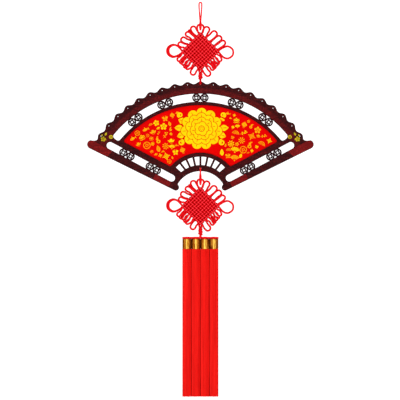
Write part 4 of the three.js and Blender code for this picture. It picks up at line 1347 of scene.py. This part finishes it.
def tassel(x, chance):
    """Threads on an even spiral net, gathered in the cap and spreading below it into a square-shouldered
    bundle. Those at its sides are darker, painted shade that makes the seams between the tassels."""
    shell = Shell()
    golden = math.pi * (3 - math.sqrt(5))
    count, radius = THREADS["count"], THREADS["radius"]
    corner, neck_end = BUNDLE["corner"], BUNDLE["neck_end"]
    limit, half_depth = BUNDLE["half_width"] - radius, BUNDLE["half_depth"] - radius
    for number in range(count):
        angle = number * golden
        skin = THREADS["skin"]
        out = math.sqrt((number + 0.5) / count) if number % 2 else 1 - skin + skin * chance.random()
        square_out = (abs(math.cos(angle)) ** corner + abs(math.sin(angle)) ** corner) ** (-1 / corner)
        end = THREADS["end"] + chance.uniform(0, THREADS["ragged"]) * chance.random()
        phase, sway = chance.uniform(0, 2 * math.pi), chance.uniform(*THREADS["sway"])
        drift = chance.uniform(-THREADS["drift"], THREADS["drift"])
        path = []
        for z in [THREADS["top"], CAP_TOP - CAP_LENGTH, neck_end, *THREADS["middle"], end]:
            reach = out * (BUNDLE["neck"] if z > neck_end else square_out)
            fall = max(0.0, (neck_end - z) / (neck_end - THREADS["end"]))
            waves = [z / length + phase for length in THREADS["waves"]]
            side = limit * reach * math.cos(angle) + sway * math.sin(waves[0]) + drift * fall
            side = max(-limit, min(limit, side))
            path.append((x + side, half_depth * reach * math.sin(angle) + sway * math.cos(waves[1]), z))
        # Painted shade: threads near the sides of the bundle get a lower tone, which makes the seams
        painted_seam_shade = max(0.0, abs(side) / limit - THREADS["painted_seam_shade_from"]) / (1 - THREADS["painted_seam_shade_from"])
        tone = chance.random() - THREADS["painted_seam_shade"] * painted_seam_shade
        tube(shell, path, radius, sides=3, marks=[tone] * len(path))
    return shell


# Stage, lights and camera
def stage():
    """One pale sheet: a floor that bends up into a wall."""
    floor, wall, bend = STAGE["floor"], STAGE["wall"], STAGE["bend"]
    section = [(STAGE["near"], floor), (wall - bend, floor)]
    for i in range(1, 13):
        angle = math.pi / 2 * i / 12
        section.append((wall - bend + bend * math.sin(angle), floor + bend * (1 - math.cos(angle))))
    section.append((wall, STAGE["height"]))
    half = STAGE["half_width"]
    vertices = [(side * half * MM, y * MM, z * MM) for y, z in section for side in (-1, 1)]
    faces = [(2 * i, 2 * i + 1, 2 * i + 3, 2 * i + 2) for i in range(len(section) - 1)]
    mesh = bpy.data.meshes.new("stage_sheet")
    mesh.from_pydata(vertices, [], faces)
    look = Look("pale_stage", {"Roughness": 0.9, "Specular IOR Level": 0.1})
    grain = look.grain(3, 2)
    pale = look.ramp(grain, *((place, (grey, grey, grey, 1)) for place, grey in zip((0.3, 0.7), STAGE_PALE)))
    look.shader.inputs["Emission Color"].default_value = (1, 1, 1, 1)
    look.shader.inputs["Emission Strength"].default_value = STAGE_GLOW
    mesh.materials.append(look.finish(pale))
    mesh.shade_smooth()
    placed("stage_sheet", mesh)


def lights():
    world = bpy.data.worlds.new("soft_studio")
    world.use_nodes = True
    world.node_tree.nodes["Background"].inputs["Color"].default_value = (1, 1, 1, 1)
    world.node_tree.nodes["Background"].inputs["Strength"].default_value = WORLD_STRENGTH
    bpy.context.scene.world = world
    for row in LIGHTS:
        data = bpy.data.lights.new(row["name"], "AREA")
        data.shape = "RECTANGLE"
        data.size, data.size_y = (length * MM for length in row["size"])
        data.energy = row["watts"]
        made = placed(row["name"], data)
        made.location = Vector(row["place"]) * MM
        aim = Vector(row["aim"]) * MM - made.location
        made.rotation_euler = aim.to_track_quat("-Z", "Y").to_euler()
        made.visible_camera = False


def camera():
    data = bpy.data.cameras.new("camera")
    data.lens, data.sensor_width = LENS, SENSOR
    made = placed("camera", data)
    x, z = VIEW_CENTRE
    made.location = Vector((x, -VIEW_WIDTH * LENS / SENSOR, z)) * MM
    made.rotation_euler = (math.pi / 2, 0, 0)
    bpy.context.scene.camera = made


camera()
lights()
stage()
bpy.context.scene.view_settings.view_transform = "Standard"

red_cord = cord_material("red_cord", 10, 0.08)
knot_looks = [red_cord, weave_material()]
thin_red_cord = cord_material("thin_red_cord", 6, 0.35)
wood_looks = [
    wood_material(),
    edge_material(),
    print_material("olive_gold", srgb(158, 136, 16), srgb(216, 192, 34)),
]
panel_looks = [
    panel_material(),
    edge_material(),
    print_material("gold_print", srgb(240, 194, 2), srgb(248, 212, 4)),
    print_material("amber_print", srgb(240, 142, 3), srgb(246, 176, 6)),
]
brass = brass_material()
thread = thread_material()

hanging_loop().piece("hanging_loop_cord", "red_cord", ["hanging_loop"], [thin_red_cord])
upper = knot_shell(UPPER_BUTTON, 3)
upper_tie(upper)
lifted(upper, UPPER_KNOT_Z).piece("upper_knot_cord", "red_cord", ["upper_knot"], knot_looks)
fan_board().piece("fan_board", "dark_wood", ["fan_frame"], wood_looks)
fan_panel().piece("fan_panel_print", "red_panel", ["fan_panel"], panel_looks)
link_cord().piece("link_cord_loop", "red_cord", ["link_cord"], [thin_red_cord])
lower = lifted(knot_shell(LOWER_BUTTON, 8), LOWER_KNOT_Z)
lower.piece("lower_knot_cord", "red_cord", ["lower_knot"], knot_looks)
# The bar's cord is the red cord lifted brighter: painted light
tassel_bar().piece("tassel_bar_cord", "red_cord", ["tassel_bar"], [cord_material("bar_cord_painted_lit", 10, 0.6)])
for number in range(1, TASSELS + 1):
    x = (number - (TASSELS + 1) / 2) * TASSEL_PITCH
    brass_cap(x).piece(f"brass_cap_{number}", "brass", [f"tassel_cap_{number}"], [brass])
    threads = tassel(x, random.Random(number))
    threads.piece(f"tassel_threads_{number}", "red_thread", [f"tassel_{number}"], [thread])

bpy.context.view_layer.update()
